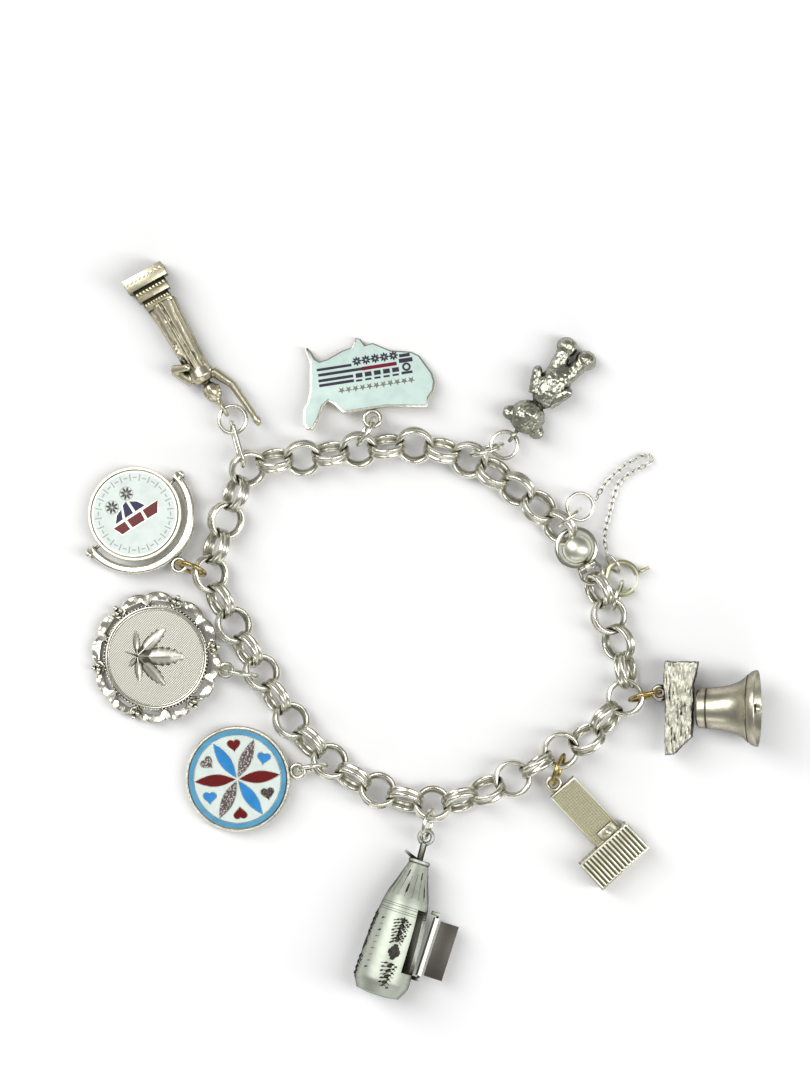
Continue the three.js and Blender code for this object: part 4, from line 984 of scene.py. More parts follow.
# %% The medallion
bm = bmesh.new()
lace_low = -LEAF_THICK / 2
low_face = leaf_face - 0.05
add(bm, dish([(0, lace_low), (8.05, lace_low), (8.05, low_face), (7.0, low_face), (0, low_face)], 96),
    moved(*LEAF_AT))
add(bm, disc(7.55, leaf_face - 0.1, leaf_face), moved(*LEAF_AT), 1)
for radius, wire, high in ((7.72, 0.2, 0.0), (7.38, 0.1, 0.06)):
    add(bm, wire_ring(radius, wire, turns=96), moved(*LEAF_AT, leaf_face + high))
for notch in range(90):
    add(bm, ball((*polar(8.0, notch * 4, LEAF_AT), leaf_face + 0.02), (0.17, 0.17, 0.17), 8, 6))
add(bm, lace_ring(), moved(*LEAF_AT))
for cluster in range(6):
    start = LEAF_FIRST + cluster * 60
    middle = polar(LEAF_FRAME - LEAF_BEAD - 0.1, start, LEAF_AT)
    for grain, out, size in ((0, 0.5, 0.42), (130, 0.45, 0.4), (230, 0.45, 0.4)):
        x, y = polar(out, start + grain, middle)
        add(bm, ball((x, y, leaf_face + 0.02), (size, size, size * 1.1), 16, 12))
foot = (LEAF_AT[0] + 2.8, LEAF_AT[1] + 0.3)
add(bm, rod((foot[0] - 0.1, foot[1], leaf_face + 0.05), (foot[0] + 2.1, foot[1] - 0.35, leaf_face),
            0.16, 0.1, 10))
for angle, length, width in LEAFLETS:
    turn = moved(*foot, leaf_face - 0.03, angle)
    add(bm, leaflet(length, width), turn, 2)
    add(bm, rod((0.2, 0, 0.3), (length * 0.94, 0, 0.15), 0.1, 0.04, 8), turn, 2)
    for vein in range(2, 7):
        x = length * vein / 8
        reach = width * sin(pi * min(1, vein / 8)) * 0.85
        for side in (-1, 1):
            end = (x + reach * 0.55, side * reach, 0.07)
            add(bm, rod((x, 0, 0.34), end, 0.055, 0.035, 6), turn, 2)
add(bm, *bail())
charm("leaf_medal", bm, "leaf", [SILVER, (FLORENTINE, "silver"), (CHASED, "silver")],
      reach=1.0, sharp=28)

# %% [markdown]
# ## The spinner
# An enamelled disc turns between two pivots in a smooth half ring with a knob over each
# pivot. On the enamel is a small sailing boat in red and navy cells, with two rosettes
# beside it and a ring of dashes round it.

# %% The half ring with its pivots
SPINNER_RADIUS, SPINNER_THICK = 7.25, 1.5
SPINNER_IN, SPINNER_OUT, SPINNER_FRAME_THICK = 8.0, 9.3, 1.3
SPINNER_AT = (SPINNER_OUT + BAIL_RADIUS + BAIL_WIRE / 2, 0)
band_half = SPINNER_FRAME_THICK / 2


def arc(radius, start, end, steps=48):
    return [polar(radius, start + (end - start) * i / steps, SPINNER_AT) for i in range(steps + 1)]


def pivot(side, start, end, r0, r1=None, sides=16):
    """A rod on the disc's axis, from one radius to another."""
    return rod((SPINNER_AT[0], side * start, 0), (SPINNER_AT[0], side * end, 0), r0, r1, sides)


bm = bmesh.new()
band = arc(SPINNER_OUT, 86, 274) + arc(SPINNER_IN, 274, 86)
add(bm, plate(band, SPINNER_FRAME_THICK, -band_half, 0.42, 5))
for side in (-1, 1):
    add(bm, pivot(side, SPINNER_IN + 0.6, SPINNER_RADIUS - 0.5, 0.25))
    add(bm, ball((SPINNER_AT[0], side * (SPINNER_OUT + 0.1), 0), (0.75, 0.6, 0.75), 24, 16))
    add(bm, pivot(side, SPINNER_OUT - 0.6, SPINNER_OUT - 0.1, 0.85, 0.7, 24))
add(bm, *bail())
charm("spinner_frame", bm, "spinner", [SILVER])

# %% The disc: a tray with a beaded rim, and its enamel
s_half = SPINNER_THICK / 2
s_in = SPINNER_RADIUS - HEX_RIM
s_field = s_half - ENAMEL_BED + ENAMEL_GAP
s_face = s_field + ENAMEL
shell = tray(SPINNER_RADIUS, s_half, HEX_RIM, 0.1)
shift(shell, moved(*SPINNER_AT))
sockets = bmesh.new()
for side in (-1, 1):
    add(sockets, pivot(side, SPINNER_RADIUS + 1, SPINNER_RADIUS - 0.9, 0.38))
bm = bmesh.new()
add(bm, without(shell, sockets))
charm("spinner_disc", bm, "spinner", [(MATTE, "silver")], "spinner")

DASHES = 48
MOTIF = 1.3                                # the boat's cells are drawn smaller than they lie
SPINNER_HEADING = 131.1
upright = moved(*SPINNER_AT, 0, -SPINNER_HEADING)  # turns a motif from the picture's page
tilted = upright @ moved(0.2, -0.1, 0, 33)
BOAT = [  # three sails over three parts of a hull, each with its finish
    ([(-1.3, 0.3), (-0.15, 0.3), (-0.15, 1.9), (-0.75, 1.75)], 1),
    ([(0.15, 0.3), (1.5, 0.3), (0.95, 1.25), (0.15, 1.75)], 1),
    ([(-2.6, 0.3), (-1.6, 0.3), (-1.15, 1.4), (-2.0, 1.1)], 1),
    ([(-3.1, 0), (-1.55, 0), (-1.45, -1.15), (-2.6, -1.2)], 2),
    ([(-1.25, 0), (0.65, 0), (0.6, -1.2), (-1.15, -1.15)], 2),
    ([(0.95, 0), (3.1, 0), (2.3, -1.25), (0.9, -1.2)], 2),
]
bm = bmesh.new()
add(bm, disc(s_in - 0.15, s_field, s_face), moved(*SPINNER_AT))
for outline, finish in BOAT:
    outline = [(x * MOTIF, y * MOTIF) for x, y in outline]
    walled(outline, 0.12, s_field, (s_face + 0.035, s_face + 0.06), tilted, (3, finish))
for x, y in ((-2.5, 2.9), (0.5, 3.5)):
    for turn in range(8):
        add(bm, slab(petal(0.95, 0.34, 0.12), s_field, s_face + 0.05), tilted @ moved(x, y, 0, turn * 45), 4)
    add(bm, annulus(0.98, 1.08, s_field, s_face + 0.05, 40), tilted @ moved(x, y), 5)
for dash in range(DASHES):
    angle = dash * 360 / DASHES
    lean, long = (0, 0.5) if dash % 2 else (90, 0.3)
    add(bm, slab([(-long, -0.08), (long, -0.08), (long, 0.08), (-long, 0.08)], s_field, s_face + 0.05),
        upright @ moved(*polar(5.6, angle), 0, angle + lean), 5)
add(bm, annulus(6.42, 6.54, s_field, s_face + 0.04), moved(*SPINNER_AT), 3)
SPINNER_FINISHES = [MINT, NAVY, RED, BRIGHT, DARK, MARKS]
charm("spinner_enamel", bm, "spinner", [(finish, "enamel") for finish in SPINNER_FINISHES], "spinner")

# %% [markdown]
# ## The map
# A thin plate cut to the outline of a country, with a polished edge and pale mint enamel.
# Dark stripes, rosettes and blocks lie along a band over it, with a row of stars below.

# %% The map's outline as shares of its width
MAP_WIDTH, MAP_THICK, MAP_RIM = 20, 0.9, 0.3
MAP_OUTLINE = [
    (0.53, 0.52), (0.54, 0.5), (0.51, 0.47), (0.45, 0.44), (0.43, 0.41), (0.45, 0.35), (0.52, 0.23),
    (0.54, 0.17), (0.58, 0.14), (0.62, 0.13), (0.61, 0.09), (0.56, 0.06), (0.58, 0), (0.56, -0.05),
    (0.52, -0.14), (0.51, -0.3), (0.48, -0.36), (0.41, -0.41), (0.34, -0.46), (0.27, -0.48),
    (0.2, -0.47), (0.14, -0.43), (0.075, -0.42), (0.075, -0.1), (0.03, 0.18), (0.03, 0.23),
    (0.09, 0.29), (0.12, 0.34), (0.08, 0.38), (-0.03, 0.42), (-0.1, 0.46), (-0.1, 0.5), (-0.06, 0.53),
    (0.05, 0.53), (0.1, 0.5), (0.2, 0.48), (0.31, 0.48), (0.42, 0.48),
]
coast = [(x * MAP_WIDTH + MAP_RIM, y * MAP_WIDTH) for x, y in MAP_OUTLINE]
bm = bmesh.new()
add(bm, plate(coast, MAP_THICK, -MAP_THICK / 2, 0.07))
add(bm, *bail(radius=1.25))
charm("map_plate", bm, "map", [SILVER])

low = MAP_THICK / 2 + ENAMEL_GAP
high = low + ENAMEL
MAP_PAGE = moved(7.7, 0.6, 0, -81)  # the page seen upright, its band rising by 9 degrees
BARS = [  # x from and to, y, width and finish
    (-7.9, -2.5, 1.0, 0.4, 1), (-7.9, -2.5, -0.75, 0.44, 1), (-7.9, -2.5, -1.5, 0.44, 1),
    (-7.8, -1.0, 0.15, 0.44, 1), (-1.0, 4.4, 0.15, 0.56, 2),
]
SMALL_BARS = [(4.95, 6.6, 1.25, 0.5, 1), (4.8, 6.9, 0.45, 0.66, 1), (4.9, 6.6, -1.5, 0.4, 1)]
bm = bmesh.new()
add(bm, plate(grown(coast, -MAP_RIM), high - low, low, 0.05))


def star(size):
    return [polar(size if i % 2 else size * 0.42, i * 36) for i in range(10)]


def bar(x0, x1, y, width, finish):
    edge = width / 2
    add(bm, slab([(x0, y - edge), (x1, y - edge), (x1, y + edge), (x0, y + edge)], low, high + 0.03),
        MAP_PAGE, finish)


for row in BARS:
    bar(*row)
for step in range(5):
    x = -1.6 + step * 1.42
    for spoke in range(8):
        add(bm, slab(petal(0.68, 0.3, 0.1), low, high + 0.03), MAP_PAGE @ moved(x, 1.45, 0, spoke * 45), 1)
    bar(x - 0.52, x + 0.52, -0.8, 0.7, 1)
    bar(x - 0.58, x + 0.38, -1.6, 0.3, 1)
for row in SMALL_BARS:
    bar(*row)
add(bm, annulus(0.36, 0.66, low, high + 0.04, 32), MAP_PAGE @ moved(5.8, -0.6), 1)
for step in range(11):
    add(bm, slab(star(0.58), low, high + 0.03), MAP_PAGE @ moved(-4.6 + step * 1.08, -2.75, 0, 18), 3)
charm("map_enamel", bm, "map", [(finish, "enamel") for finish in (MAP_MINT, SLATE, ROSE, BRIGHT)])

# %% [markdown]
# ## The standing figure
# A small solid casting of a robed figure on a stepped plinth, with one arm raised. The
# forms are laid over each other and melted into one skin, which rounds every join as wax
# and casting do; the folds of the robe are long ridges under that skin.

# %% The figure
L, W = 24.8, 6.6  # the figure's height, and the width of its robe
MIDDLE, PLINTH_Y = 0.06 * W, 0.1 * W  # the robe and the plinth lie a little to one side
FOLDS = [(0.3, 0.26), (0.4, 0.265), (0.52, 0.285), (0.64, 0.3), (0.76, 0.345)]
bm = bmesh.new()
robe = [(0.2, 0), (0.205, 0.2), (0.24, 0.3), (0.3, 0.27), (0.38, 0.25), (0.5, 0.28), (0.62, 0.29),
        (0.765, 0.33), (0.765, 0)]
add(bm, turned([(x * L, r * W) for x, r in robe], 40), moved(0, MIDDLE))
for fold in range(18):
    angle = fold * 20
    sway = 14 * sin(fold * 2.4)
    for (xa, ra), (xb, rb) in zip(FOLDS, FOLDS[1:]):
        a, b = radians(angle + sway * (xa - 0.3)), radians(angle + sway * (xb - 0.3) * 1.6)
        add(bm, rod((xa * L, MIDDLE + ra * W * cos(a), ra * W * sin(a)),
                    (xb * L, MIDDLE + rb * W * cos(b), rb * W * sin(b)), 0.17, 0.2, 8))
for sash in range(3):
    add(bm, rod((0.25 * L + sash * 0.5, -0.2 * W, 1.2), (0.44 * L + sash * 0.7, 0.3 * W, 1.5), 0.2, 0.24, 8))
add(bm, ball((0.135 * L, 0.03 * W, 0), (1.5, 1.15, 1.2), 24, 16))
add(bm, ball((0.115 * L, 0.03 * W, -0.25), (1.35, 1.28, 1.15), 24, 16))
add(bm, rod((0.15 * L, 0.03 * W, 0), (0.22 * L, 0.06 * W, 0), 0.62))
face = 0.03 * W
add(bm, ball((0.142 * L, face, 1.13), (0.32, 0.13, 0.18), 10, 8))
for side in (-1, 1):
    add(bm, ball((0.131 * L, face + side * 0.42, 1.02), (0.12, 0.2, 0.1), 10, 8))
    add(bm, rod((0.122 * L, face + side * 0.2, 1.1), (0.124 * L, face + side * 0.68, 0.98), 0.08, sides=8))
add(bm, rod((0.157 * L, face - 0.25, 1.02), (0.157 * L, face + 0.25, 1.02), 0.08, sides=8))
for curl in range(9):
    a = radians(-100 + curl * 25)
    add(bm, ball((0.135 * L - 1.25 * cos(a), face + 1.12 * sin(a), 0.25), (0.36, 0.36, 0.34), 10, 8))
shoulder, elbow = (0.24 * L, -0.22 * W, 0.1), (0.11 * L, -0.46 * W, 0.2)
hand = (-0.16 * L, -0.55 * W, 0.3)
add(bm, rod(shoulder, elbow, 0.85, 0.68))
add(bm, rod(elbow, hand, 0.66, 0.48))
add(bm, ball(hand, (0.85, 0.62, 0.6), 16, 12))
for finger in (-0.3, 0.0, 0.3):
    add(bm, rod((hand[0] - 0.3, hand[1] + finger, hand[2]), (hand[0] - 0.95, hand[1] + finger * 1.1, hand[2]),
                0.17, 0.12, 8))
for cuff in range(3):
    add(bm, rod((0.2 * L - cuff * 0.7, -0.28 * W - cuff * 0.35, -0.5),
                (0.2 * L - cuff * 0.9, -0.28 * W - cuff * 0.5, 0.9), 0.3, 0.25, 8))
left, bend, wrist = (0.24 * L, 0.32 * W, 0.1), (0.36 * L, 0.56 * W, 0.3), (0.33 * L, 0.26 * W, 0.34 * W)
add(bm, rod(left, bend, 0.88, 0.82))
add(bm, rod(bend, wrist, 0.8, 0.5))
add(bm, ball(wrist, (0.6, 0.55, 0.5), 12, 10))
add(bm, rod((BAIL_WIRE + 0.7, 0, 0), (0.1 * L, 0.03 * W, 0), 0.5))
add(bm, *bail(UPRIGHT, 1.0))
figure = cast(bm, 0.13, 3)
bm = bmesh.new()
add(bm, figure)
steps = [(0.75, 0.82, 1.1), (0.82, 0.9, 1.35), (0.9, 0.985, 1.7)]  # from, to, and size of a step
for start, end, size in steps:
    add(bm, block(((end - start) * L + 0.1, size * W * 0.545 * 1.1, size * W * 0.545 * 0.85),
                  ((start + end) / 2 * L, PLINTH_Y, 0), 0.12))
for course in range(3):
    x = (0.9 + 0.028 * (course + 0.4)) * L
    add(bm, block((0.12, W, W * 0.78), (x, PLINTH_Y, 0), 0.03))
for start, end, size in steps:  # a row of small blocks round each step, as on a cornice
    wide, deep = size * W * 0.6, size * W * 0.463
    for tooth in range(9):
        across = (tooth - 4) / 9.5
        x = (end - 0.02) * L - 0.3
        add(bm, block((0.42, wide / 15, deep + 0.16), (x, PLINTH_Y + across * wide, 0), 0.03))
        add(bm, block((0.42, wide + 0.16, deep / 15), (x, PLINTH_Y, across * deep), 0.03))
charm("statue", bm, "statue", [(WARM, "antique_silver")], reach=1.0, sharp=40)

# %% [markdown]
# ## The bear
# A pewter bear cub with round ears, arms and feet. It is cast in the same way, with small
# tufts raised on its coat.

# %% The bear
B = 17.6  # the bear's length
bm = bmesh.new()
head = Vector((0.2 * B, 0, 0))
add(bm, ball(head, (2.6, 2.75, 2.3), 28, 20))
add(bm, ball(head + Vector((0.5, -0.3, 1.8)), (1.15, 1.3, 0.95), 20, 14))
add(bm, ball(head + Vector((0.25, -0.3, 2.62)), (0.36, 0.5, 0.3), 14, 10))
for side in (-1, 1):
    add(bm, ball((0.14 * B, side * 2.5, 0.2), (1.15, 1.2, 0.8), 18, 12))
    add(bm, ball(head + Vector((-0.6, side * 1.0 - 0.1, 2.02)), (0.24, 0.24, 0.2), 10, 8))
add(bm, ball((0.55 * B, -0.3, 0), (4.0, 2.45, 2.1), 28, 20))
for y, r in ((1.5, 1.5), (-2.1, 1.55)):
    add(bm, ball((0.9 * B, y, -0.1), (r, 1.62, 1.62), 20, 14))
    add(bm, rod((0.66 * B, y * 0.5, 0), (0.88 * B, y * 0.93, 0), 1.3, 1.15))
for y0, y1, z1 in ((1.4, 3.0, 0.9), (-1.6, -2.75, 1.4)):
    add(bm, rod((0.4 * B, y0, 0.3), (0.575 * B, y1, z1), 0.85, 0.8))
    add(bm, ball((0.575 * B, y1, z1), (0.8, 0.75, 0.75), 14, 10))
add(bm, *bail(UPRIGHT))
bear = cast(bm, 0.12, 4)
for vertex in bear.verts:
    x, y, z = vertex.co
    if x > 1.2:
        tuft = noise.noise(Vector((x * 1.6, y * 2.6, z * 2.6)))
        tuft += 0.5 * noise.noise(Vector((x * 4, y * 6, z * 6)))
        vertex.co += vertex.normal * 0.09 * tuft
charm("bear", bear, "bear", [(PEWTER, "antique_silver")], reach=1.0, sharp=60)

# %% [markdown]
# ## The bell
# A hollow bell with turned mouldings and a clapper hangs under a yoke that is cast to look
# like rough wood.

# %% The bell, its yoke and its clapper
BELL_MOUTH, BELL_LENGTH = 5.9, 9.5
CROWN = Vector((5.6, -2.3, 0))
outside = [(0.0, 0.3), (0.02, 0.45), (0.05, 0.52), (0.12, 0.53), (0.165, 0.535), (0.175, 0.515),
           (0.185, 0.515), (0.195, 0.54), (0.3, 0.548), (0.42, 0.565), (0.56, 0.61), (0.7, 0.695),
           (0.79, 0.8), (0.84, 0.885), (0.85, 0.875), (0.862, 0.9), (0.9, 0.955), (0.95, 0.985),
           (0.985, 1.0), (1.0, 0.99)]
inside = [(1.0, 0.93), (0.93, 0.87), (0.86, 0.78), (0.7, 0.59), (0.42, 0.45), (0.14, 0.4), (0.105, 0.3)]
bm = bmesh.new()
walls = [(x * BELL_LENGTH, r * BELL_MOUTH) for x, r in outside + inside]
add(bm, turned([(0, 0)] + walls + [(1.0, 0)], 72), Matrix.Translation(CROWN))
charm("bell", bm, "bell", [(BELL_METAL, "antique_silver")], reach=2.5)

YOKE_THICK = 2.4
bm = bmesh.new()
timber = plate([(0.9, -7.3), (1.6, -7.25), (2.3, -7.15), (3.6, -5.8), (5.0, -4.5), (5.2, -1.5), (5.3, 1.5),
                (5.3, 3.8), (5.7, 5.1), (6.0, 7.15), (4.0, 7.2), (2.2, 7.1), (0.9, 7.3), (0.7, 5.6),
                (0.6, 3.6), (0.85, 0.8), (0.9, -2.2), (0.75, -5)], YOKE_THICK, -YOKE_THICK / 2, 0.2)
bmesh.ops.triangulate(timber, faces=timber.faces[:])
bmesh.ops.subdivide_edges(timber, edges=timber.edges[:], cuts=3, use_grid_fill=True)
bmesh.ops.translate(timber, vec=(0, CROWN.y, 0), verts=timber.verts)
yoke = cast(timber, 0.13, 2)
for vertex in yoke.verts:
    x, y, z = vertex.co
    grain = noise.noise(Vector((x * 3.4, y * 0.5, z * 3.4)))
    grain += 0.6 * noise.noise(Vector((x * 8, y * 1.3, z * 8)))
    vertex.co += vertex.normal * (0.12 * grain - 0.08)
add(bm, yoke)
add(bm, *bail(radius=1.0))
add(bm, rod((0.9, -0.2, 0), (2, -1, 0), 0.5))
charm("bell_yoke", bm, "bell", [(TIMBER, "antique_silver")], reach=0.8, sharp=50)

bm = bmesh.new()
hung, strike = CROWN + Vector((1.3, 0, 0)), CROWN + Vector((BELL_LENGTH - 0.2, 0, 0))
add(bm, rod(hung, strike, 0.28))
add(bm, turned([(-0.8, 0), (-0.75, 0.3), (-0.5, 0.6), (0, 0.8), (0.45, 0.68), (0.7, 0.4), (0.8, 0)], 28),
    Matrix.Translation(strike))
charm("bell_clapper", bm, "bell", [(BELL_METAL, "antique_silver")])

# %% [markdown]
# ## The building
# A tall slab with a grid of windows rises from a low hall with a ribbed roof and a small
# dome. The windows are faces pushed in one by one, which is what an individual inset does.
# The panes and the hall's core between the ribs take a darker silver: painted shade.

# %% The building
TOWER_LENGTH, TOWER_WIDTH, TOWER_THICK = 10.6, 4.9, 2.4
HALL_WIDTH, HALL_LENGTH, HALL_THICK = 9.7, 5.2, 4.4
TOWER_Y, HALL_Y, RIBS = 0.6, -0.7, 15
start = BAIL_RADIUS + BAIL_WIRE / 2


def windowed(length, width, columns, rows, at, across=Matrix(), depth=0.09):
    """A thin sheet with a grid of sunk windows, lying on a wall."""
    sheet = bmesh.new()
    bmesh.ops.create_grid(sheet, x_segments=columns, y_segments=rows, size=0.5)
    bmesh.ops.scale(sheet, vec=(length, width, 1), verts=sheet.verts)
    panes = sheet.faces[:]
    bmesh.ops.inset_individual(sheet, faces=panes, thickness=0.07, depth=0)
    bmesh.ops.translate(sheet, vec=(0, 0, -depth), verts=list({v for face in panes for v in face.verts}))
    glazing = bmesh.new()
    for face in panes:
        glazing.faces.new([glazing.verts.new(vertex.co) for vertex in face.verts])
    bmesh.ops.delete(sheet, geom=panes, context="FACES_ONLY")
    place = Matrix.Translation(at) @ across
    add(bm, sheet, place)
    # The panes take the darker silver: painted shade in the sunk windows
    add(bm, glazing, place, 1)


bm = bmesh.new()
middle = start + TOWER_LENGTH / 2
wall = 0.1
add(bm, block((TOWER_LENGTH, TOWER_WIDTH - 2 * wall, TOWER_THICK - 2 * wall), (middle, TOWER_Y, 0), 0.04))
glazed = TOWER_LENGTH - 0.6
for facing, z in ((Matrix(), 1), (Matrix.Rotation(pi, 4, "X"), -1)):
    windowed(glazed, TOWER_WIDTH - 0.5, 26, 11, (middle, TOWER_Y, z * (TOWER_THICK / 2)), facing)
for facing, y in ((UPRIGHT, -1), (UPRIGHT.inverted(), 1)):
    windowed(glazed, TOWER_THICK - 0.4, 26, 4, (middle, TOWER_Y + y * TOWER_WIDTH / 2, 0), facing)
for x in (start + 0.15, start + TOWER_LENGTH - 0.15):
    add(bm, block((0.3, TOWER_WIDTH, TOWER_THICK), (x, TOWER_Y, 0)))
for y in (-1, 1):
    for z in (-1, 1):
        corner = (middle, TOWER_Y + y * (TOWER_WIDTH / 2 - 0.13), z * (TOWER_THICK / 2 - 0.13))
        add(bm, block((TOWER_LENGTH, 0.26, 0.26), corner, 0.03))
hall_at = start + TOWER_LENGTH + HALL_LENGTH / 2
# The hall's core shows between the ribs in the darker silver: painted shade in the gaps
add(bm, block((HALL_LENGTH - 0.3, HALL_WIDTH - 0.1, HALL_THICK - 0.16), (hall_at, HALL_Y, 0), 0.05),
    Matrix(), 1)
for rib in range(RIBS):
    y = HALL_Y - HALL_WIDTH / 2 + 0.25 + rib * (HALL_WIDTH - 0.5) / (RIBS - 1)
    add(bm, block((HALL_LENGTH, 0.42, HALL_THICK), (hall_at, y, 0), 0.07))
for x in (-1, 1):
    add(bm, block((0.3, HALL_WIDTH, HALL_THICK), (hall_at + x * (HALL_LENGTH / 2 - 0.15), HALL_Y, 0), 0.06))
roof = TOWER_THICK / 2
dome_at = start + TOWER_LENGTH - 0.75
add(bm, block((2.1, 2.9, 0.5), (dome_at + 0.1, 1.1, roof + 0.1), 0.06))
drum = [(0, roof), (0.95, roof), (0.95, roof + 0.5), (0.78, roof + 0.62), (0, roof + 0.62)]
add(bm, dish(drum, 32), moved(dome_at, 1.1))
add(bm, ball((dome_at, 1.1, roof + 0.62), (0.7, 0.7, 0.62), 24, 16))
add(bm, *bail())
charm("tower", bm, "tower", [(MATTE, "silver"), (PAINTED_SHADE_MATTE, "silver")], reach=0.5, sharp=30, outward=False)

# %% [markdown]
# ## The lodge
# A tapered tent of hides stands open at one side, with a hinged flap. Its polished skin is
# engraved with feathered strokes and a diamond, filled dark, and two poles cross at the
# smoke hole.

# %% The lodge's shell
LODGE_RADIUS, LODGE_LENGTH, LODGE_WALL = 4.4, 22, 0.6
LODGE_OUTLINE = [(0, 0.32), (0.14, 0.53), (0.32, 0.82), (0.55, 0.95), (0.87, 1), (0.97, 0.78)]
DOOR, DOOR_TURN = (7.4, 17.2), (-4, 56)
NECK, LODGE_SIDE = 3.6, 0.2
LODGE_AXIS = Matrix.Translation((NECK, LODGE_SIDE, 0))
SKIN = 0.983  # the tent's round skin lies between the corners and the flats of the solids'


def lodge_slope(index):
    """The slope at one point of the profile: the harmonic mean of those beside it."""
    runs = [(b[1] - a[1]) / (b[0] - a[0]) for a, b in zip(LODGE_OUTLINE, LODGE_OUTLINE[1:])]
    before, after = runs[max(0, index - 1)], runs[min(len(runs) - 1, index)]
    return 2 * before * after / (before + after) if before * after > 0 else 0.0


def lodge_radius(share):
    """The smooth radius of the tent at a share of its length, through the solids' profile."""
    index = max(i for i in range(len(LODGE_OUTLINE) - 1) if i == 0 or LODGE_OUTLINE[i][0] <= share)
    (a, low), (b, high) = LODGE_OUTLINE[index:index + 2]
    t, run = (share - a) / (b - a), b - a
    smooth = (low * (1 + 2 * t) + run * t * lodge_slope(index)) * (1 - t) ** 2
    smooth += (high * (3 - 2 * t) - run * (1 - t) * lodge_slope(index + 1)) * t ** 2
    return LODGE_RADIUS * SKIN * smooth


rows = [(0, 0)]
for step in range(101):
    share = 0.97 * step / 100
    rows.append((share * LODGE_LENGTH, lodge_radius(share)))
rows += [(LODGE_LENGTH * x, LODGE_RADIUS * r) for x, r in ((0.977, 0.58), (0.983, 0.4), (0.985, 0))]
room = [(1.6, 0)] + [(share * LODGE_LENGTH, lodge_radius(share) - LODGE_WALL) for share in
                     [0.09, 0.2, 0.32, 0.45, 0.6, 0.75, 0.88, 0.94]] + [(0.94 * LODGE_LENGTH, 0)]
wedge = plate([(0, 0)] + [polar(9, DOOR_TURN[0] + (DOOR_TURN[1] - DOOR_TURN[0]) * i / 4) for i in range(5)],
              DOOR[1] - DOOR[0])
shift(wedge, basis(Vector((0, 1, 0)), UP, Vector((1, 0, 0)), Vector((DOOR[0], 0, 0))))
shell = without(without(turned(rows, 96), turned(room, 64)), wedge)

# %% The engraving: feathered strokes and a diamond drawn on the skin
def on_skin(share, angle):
    r = lodge_radius(share)
    return (share * LODGE_LENGTH, r * cos(radians(angle)), r * sin(radians(angle)))


def stroke(bm, share0, angle0, share1, angle1, width):
    points = [on_skin(share0 + (share1 - share0) * i / 6, angle0 + (angle1 - angle0) * i / 6)
              for i in range(7)]
    for a, b in zip(points, points[1:]):
        add(bm, rod(a, b, width, sides=8), Matrix(), 1)


bm = bmesh.new()
add(bm, shell)
for face in bm.faces:  # the inside is painted black as shade in the open tent
    spot = face.calc_center_median()
    share = spot.x / LODGE_LENGTH
    if 0.03 < share < 0.96 and spot.yz.length < lodge_radius(share) - 0.35:
        face.material_index = 1
for angle in (84, 172, 252):
    stroke(bm, 0.41, angle, 0.59, angle + 3, 0.09)
    for row in range(8):
        share = 0.42 + row * 0.022
        stroke(bm, share, angle, share + 0.03, angle + 22 - row, 0.05)
        stroke(bm, share, angle, share + 0.03, angle - 18 + row, 0.05)
    for patch in range(4):
        stroke(bm, 0.43 + patch * 0.045, angle - 2, 0.445 + patch * 0.045, angle + 3, 0.16)
    for ring_size in (1.0, 0.85, 0.7, 0.55, 0.4, 0.25, 0.1):
        corners = [(0.66 - 0.055 * ring_size, angle), (0.66, angle + 12 * ring_size),
                   (0.66 + 0.055 * ring_size, angle), (0.66, angle - 12 * ring_size)]
        for (s0, a0), (s1, a1) in zip(corners, corners[1:] + corners[:1]):
            stroke(bm, s0, a0, s1, a1, 0.075)
    for row in range(7):
        share = 0.74 + row * 0.026
        stroke(bm, share, angle - 1, share + 0.014, angle + 20 - row * 2, 0.05)
        stroke(bm, share, angle - 1, share + 0.02, angle - 16 + row, 0.05)
    for patch in range(4):
        stroke(bm, 0.75 + patch * 0.04, angle - 3, 0.765 + patch * 0.04, angle + 3, 0.17)
for angle in (128, 208):
    for row in range(9):
        stroke(bm, 0.45 + row * 0.045, angle, 0.457 + row * 0.045, angle + 9, 0.035)
for line in range(18):
    stroke(bm, 0.08 + 0.02 * (line % 3), line * 20, 0.27, line * 20 + 2, 0.03)
for share in (0.335, 0.35, 0.375, 0.39):
    add(bm, wire_ring(lodge_radius(share) - 0.03, 0.05, turns=72, sides=8),
        basis(UP, Vector((0, 1, 0)), Vector((-1, 0, 0)), Vector((share * LODGE_LENGTH, 0, 0))), 1)
shift(bm, LODGE_AXIS)

# %% Its fittings and the flap
HINGE_OUT = LODGE_RADIUS + 0.55 + 0.3
FLAP_Y = LODGE_SIDE + HINGE_OUT * cos(radians(DOOR_TURN[0]))
FLAP_Z = HINGE_OUT * sin(radians(DOOR_TURN[0]))
FLAP_ENDS = (NECK + DOOR[0] - 0.3, NECK + DOOR[1] + 0.3)
add(bm, *bail())
add(bm, rod((BAIL_RADIUS, 0, 0), (NECK + 1.2, LODGE_SIDE, 0), 0.5))
add(bm, turned([(0, 0), (0, 1.5), (0.12, 1.68), (0.3, 1.72), (0.5, 1.68), (0.7, 1.45), (0.7, 0)], 40),
    LODGE_AXIS)
add(bm, rod((NECK + 0.4, LODGE_SIDE, 0), (NECK - 0.7, LODGE_SIDE - 2.6, 0.4), 0.38, 0.18, 12))
for x in FLAP_ENDS:
    add(bm, block((0.6, 1.4, 0.9), (x, FLAP_Y - 0.4, FLAP_Z), 0.12))
add(bm, rod((FLAP_ENDS[0], FLAP_Y, FLAP_Z), (FLAP_ENDS[1], FLAP_Y, FLAP_Z), 0.18))
charm("lodge", bm, "lodge", [(HIDE, "antique_silver"), (DARK, "antique_silver")], reach=2.6)

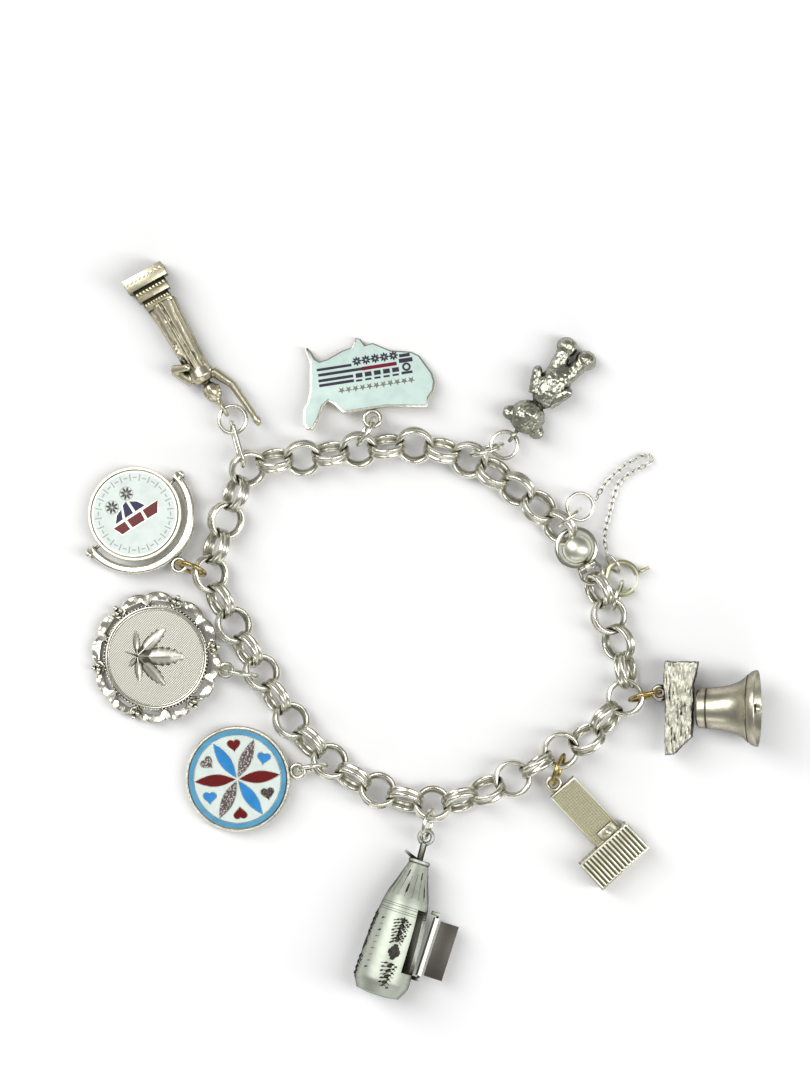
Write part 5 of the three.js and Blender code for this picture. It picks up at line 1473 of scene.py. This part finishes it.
run = FLAP_ENDS[1] - FLAP_ENDS[0] - 0.6 - 0.6  # between the two lugs, with play
mid = (FLAP_ENDS[0] + FLAP_ENDS[1]) / 2
bm = bmesh.new()
barrel = rod((mid - run / 2, FLAP_Y, FLAP_Z), (mid + run / 2, FLAP_Y, FLAP_Z), 0.53, sides=24)
bore = rod((mid - run, FLAP_Y, FLAP_Z), (mid + run, FLAP_Y, FLAP_Z), 0.33, sides=20)
leaf_sheet = block((run, 3.7, 0.46), (mid, FLAP_Y + 1.85 + 0.35, FLAP_Z), 0.1)
joined = bmesh.new()
add(joined, leaf_sheet)
add(joined, barrel)
add(bm, without(joined, bore))
# A dark skin lies on the flap's inner face, inside a narrow bright edge.
add(bm, block((run - 0.5, 2.9, 0.08), (mid, FLAP_Y + 1.85 + 0.3, FLAP_Z + 0.22), 0.02), Matrix(), 1)
charm("lodge_flap", bm, "lodge", [(FROSTED, "antique_silver"), (DARK, "antique_silver")], "lodge_flap")

# %% [markdown]
# ## The picture
# The camera looks straight down, as in the photograph, from far enough that the tall bell
# hardly leans outward. The floor is plain and pale, and wide soft lights stand round it, so
# that the silver has something bright and something darker to mirror.

# %% Floor, lights and camera
FLOOR_HALF, FLOOR_GAP = 1.5, 0.00005  # metres; the gap keeps the floor off the part's underside
floor_mesh = bpy.data.meshes.new("floor")
bm = bmesh.new()
bmesh.ops.create_grid(bm, x_segments=1, y_segments=1, size=FLOOR_HALF)
bm.to_mesh(floor_mesh)
bm.free()
floor_mesh.transform(Matrix.Translation((0, 0, -FLOOR_GAP)))
floor = bpy.data.objects.new("floor", floor_mesh)
bpy.context.collection.objects.link(floor)
paper, _, shader, _ = new_material("white_paper")
shader.inputs["Base Color"].default_value = colour("#ffffff")
shader.inputs["Roughness"].default_value = 0.9
floor_mesh.materials.append(paper)


def soft_light(name, at, size, watts, target=(0, 0, 0)):
    light = bpy.data.lights.new(name, "AREA")
    light.shape, light.size, light.size_y, light.energy = "RECTANGLE", size[0], size[1], watts
    obj = bpy.data.objects.new(name, light)
    obj.location = at
    obj.rotation_euler = (Vector(target) - Vector(at)).to_track_quat("-Z", "Y").to_euler()
    bpy.context.collection.objects.link(obj)


soft_light("overhead_left", (-0.45, 0.3, 0.7), (0.4, 0.9), 5.0)
soft_light("overhead_right", (0.5, -0.1, 0.6), (0.25, 0.8), 3.2)
soft_light("low_front", (0.0, -0.8, 0.35), (1.0, 0.2), 1.4)
SKY = 0.22  # the share of light that comes from all round
world = bpy.data.worlds.new("studio")
world.use_nodes = True
world.node_tree.nodes["Background"].inputs["Color"].default_value = colour("#ffffff")
world.node_tree.nodes["Background"].inputs["Strength"].default_value = SKY
bpy.context.scene.world = world
bpy.context.scene.view_settings.view_transform = "Standard"

SCALE = 6.5 / 0.998             # pixels of the photograph to a millimetre
FRAME_HIGH = 1080 / SCALE * MM  # what the picture's height covers
CENTRE = Vector((-2.854, 13.769, 3.0)) * MM
DISTANCE, SENSOR = 0.75, 36
camera = bpy.data.cameras.new("camera")
camera.sensor_fit, camera.sensor_height, camera.sensor_width = "VERTICAL", SENSOR, SENSOR * 3 / 4
camera.lens = SENSOR * DISTANCE / FRAME_HIGH
view = bpy.data.objects.new("camera", camera)
view.location = CENTRE + Vector((0, 0, DISTANCE))
bpy.context.collection.objects.link(view)
bpy.context.scene.camera = view
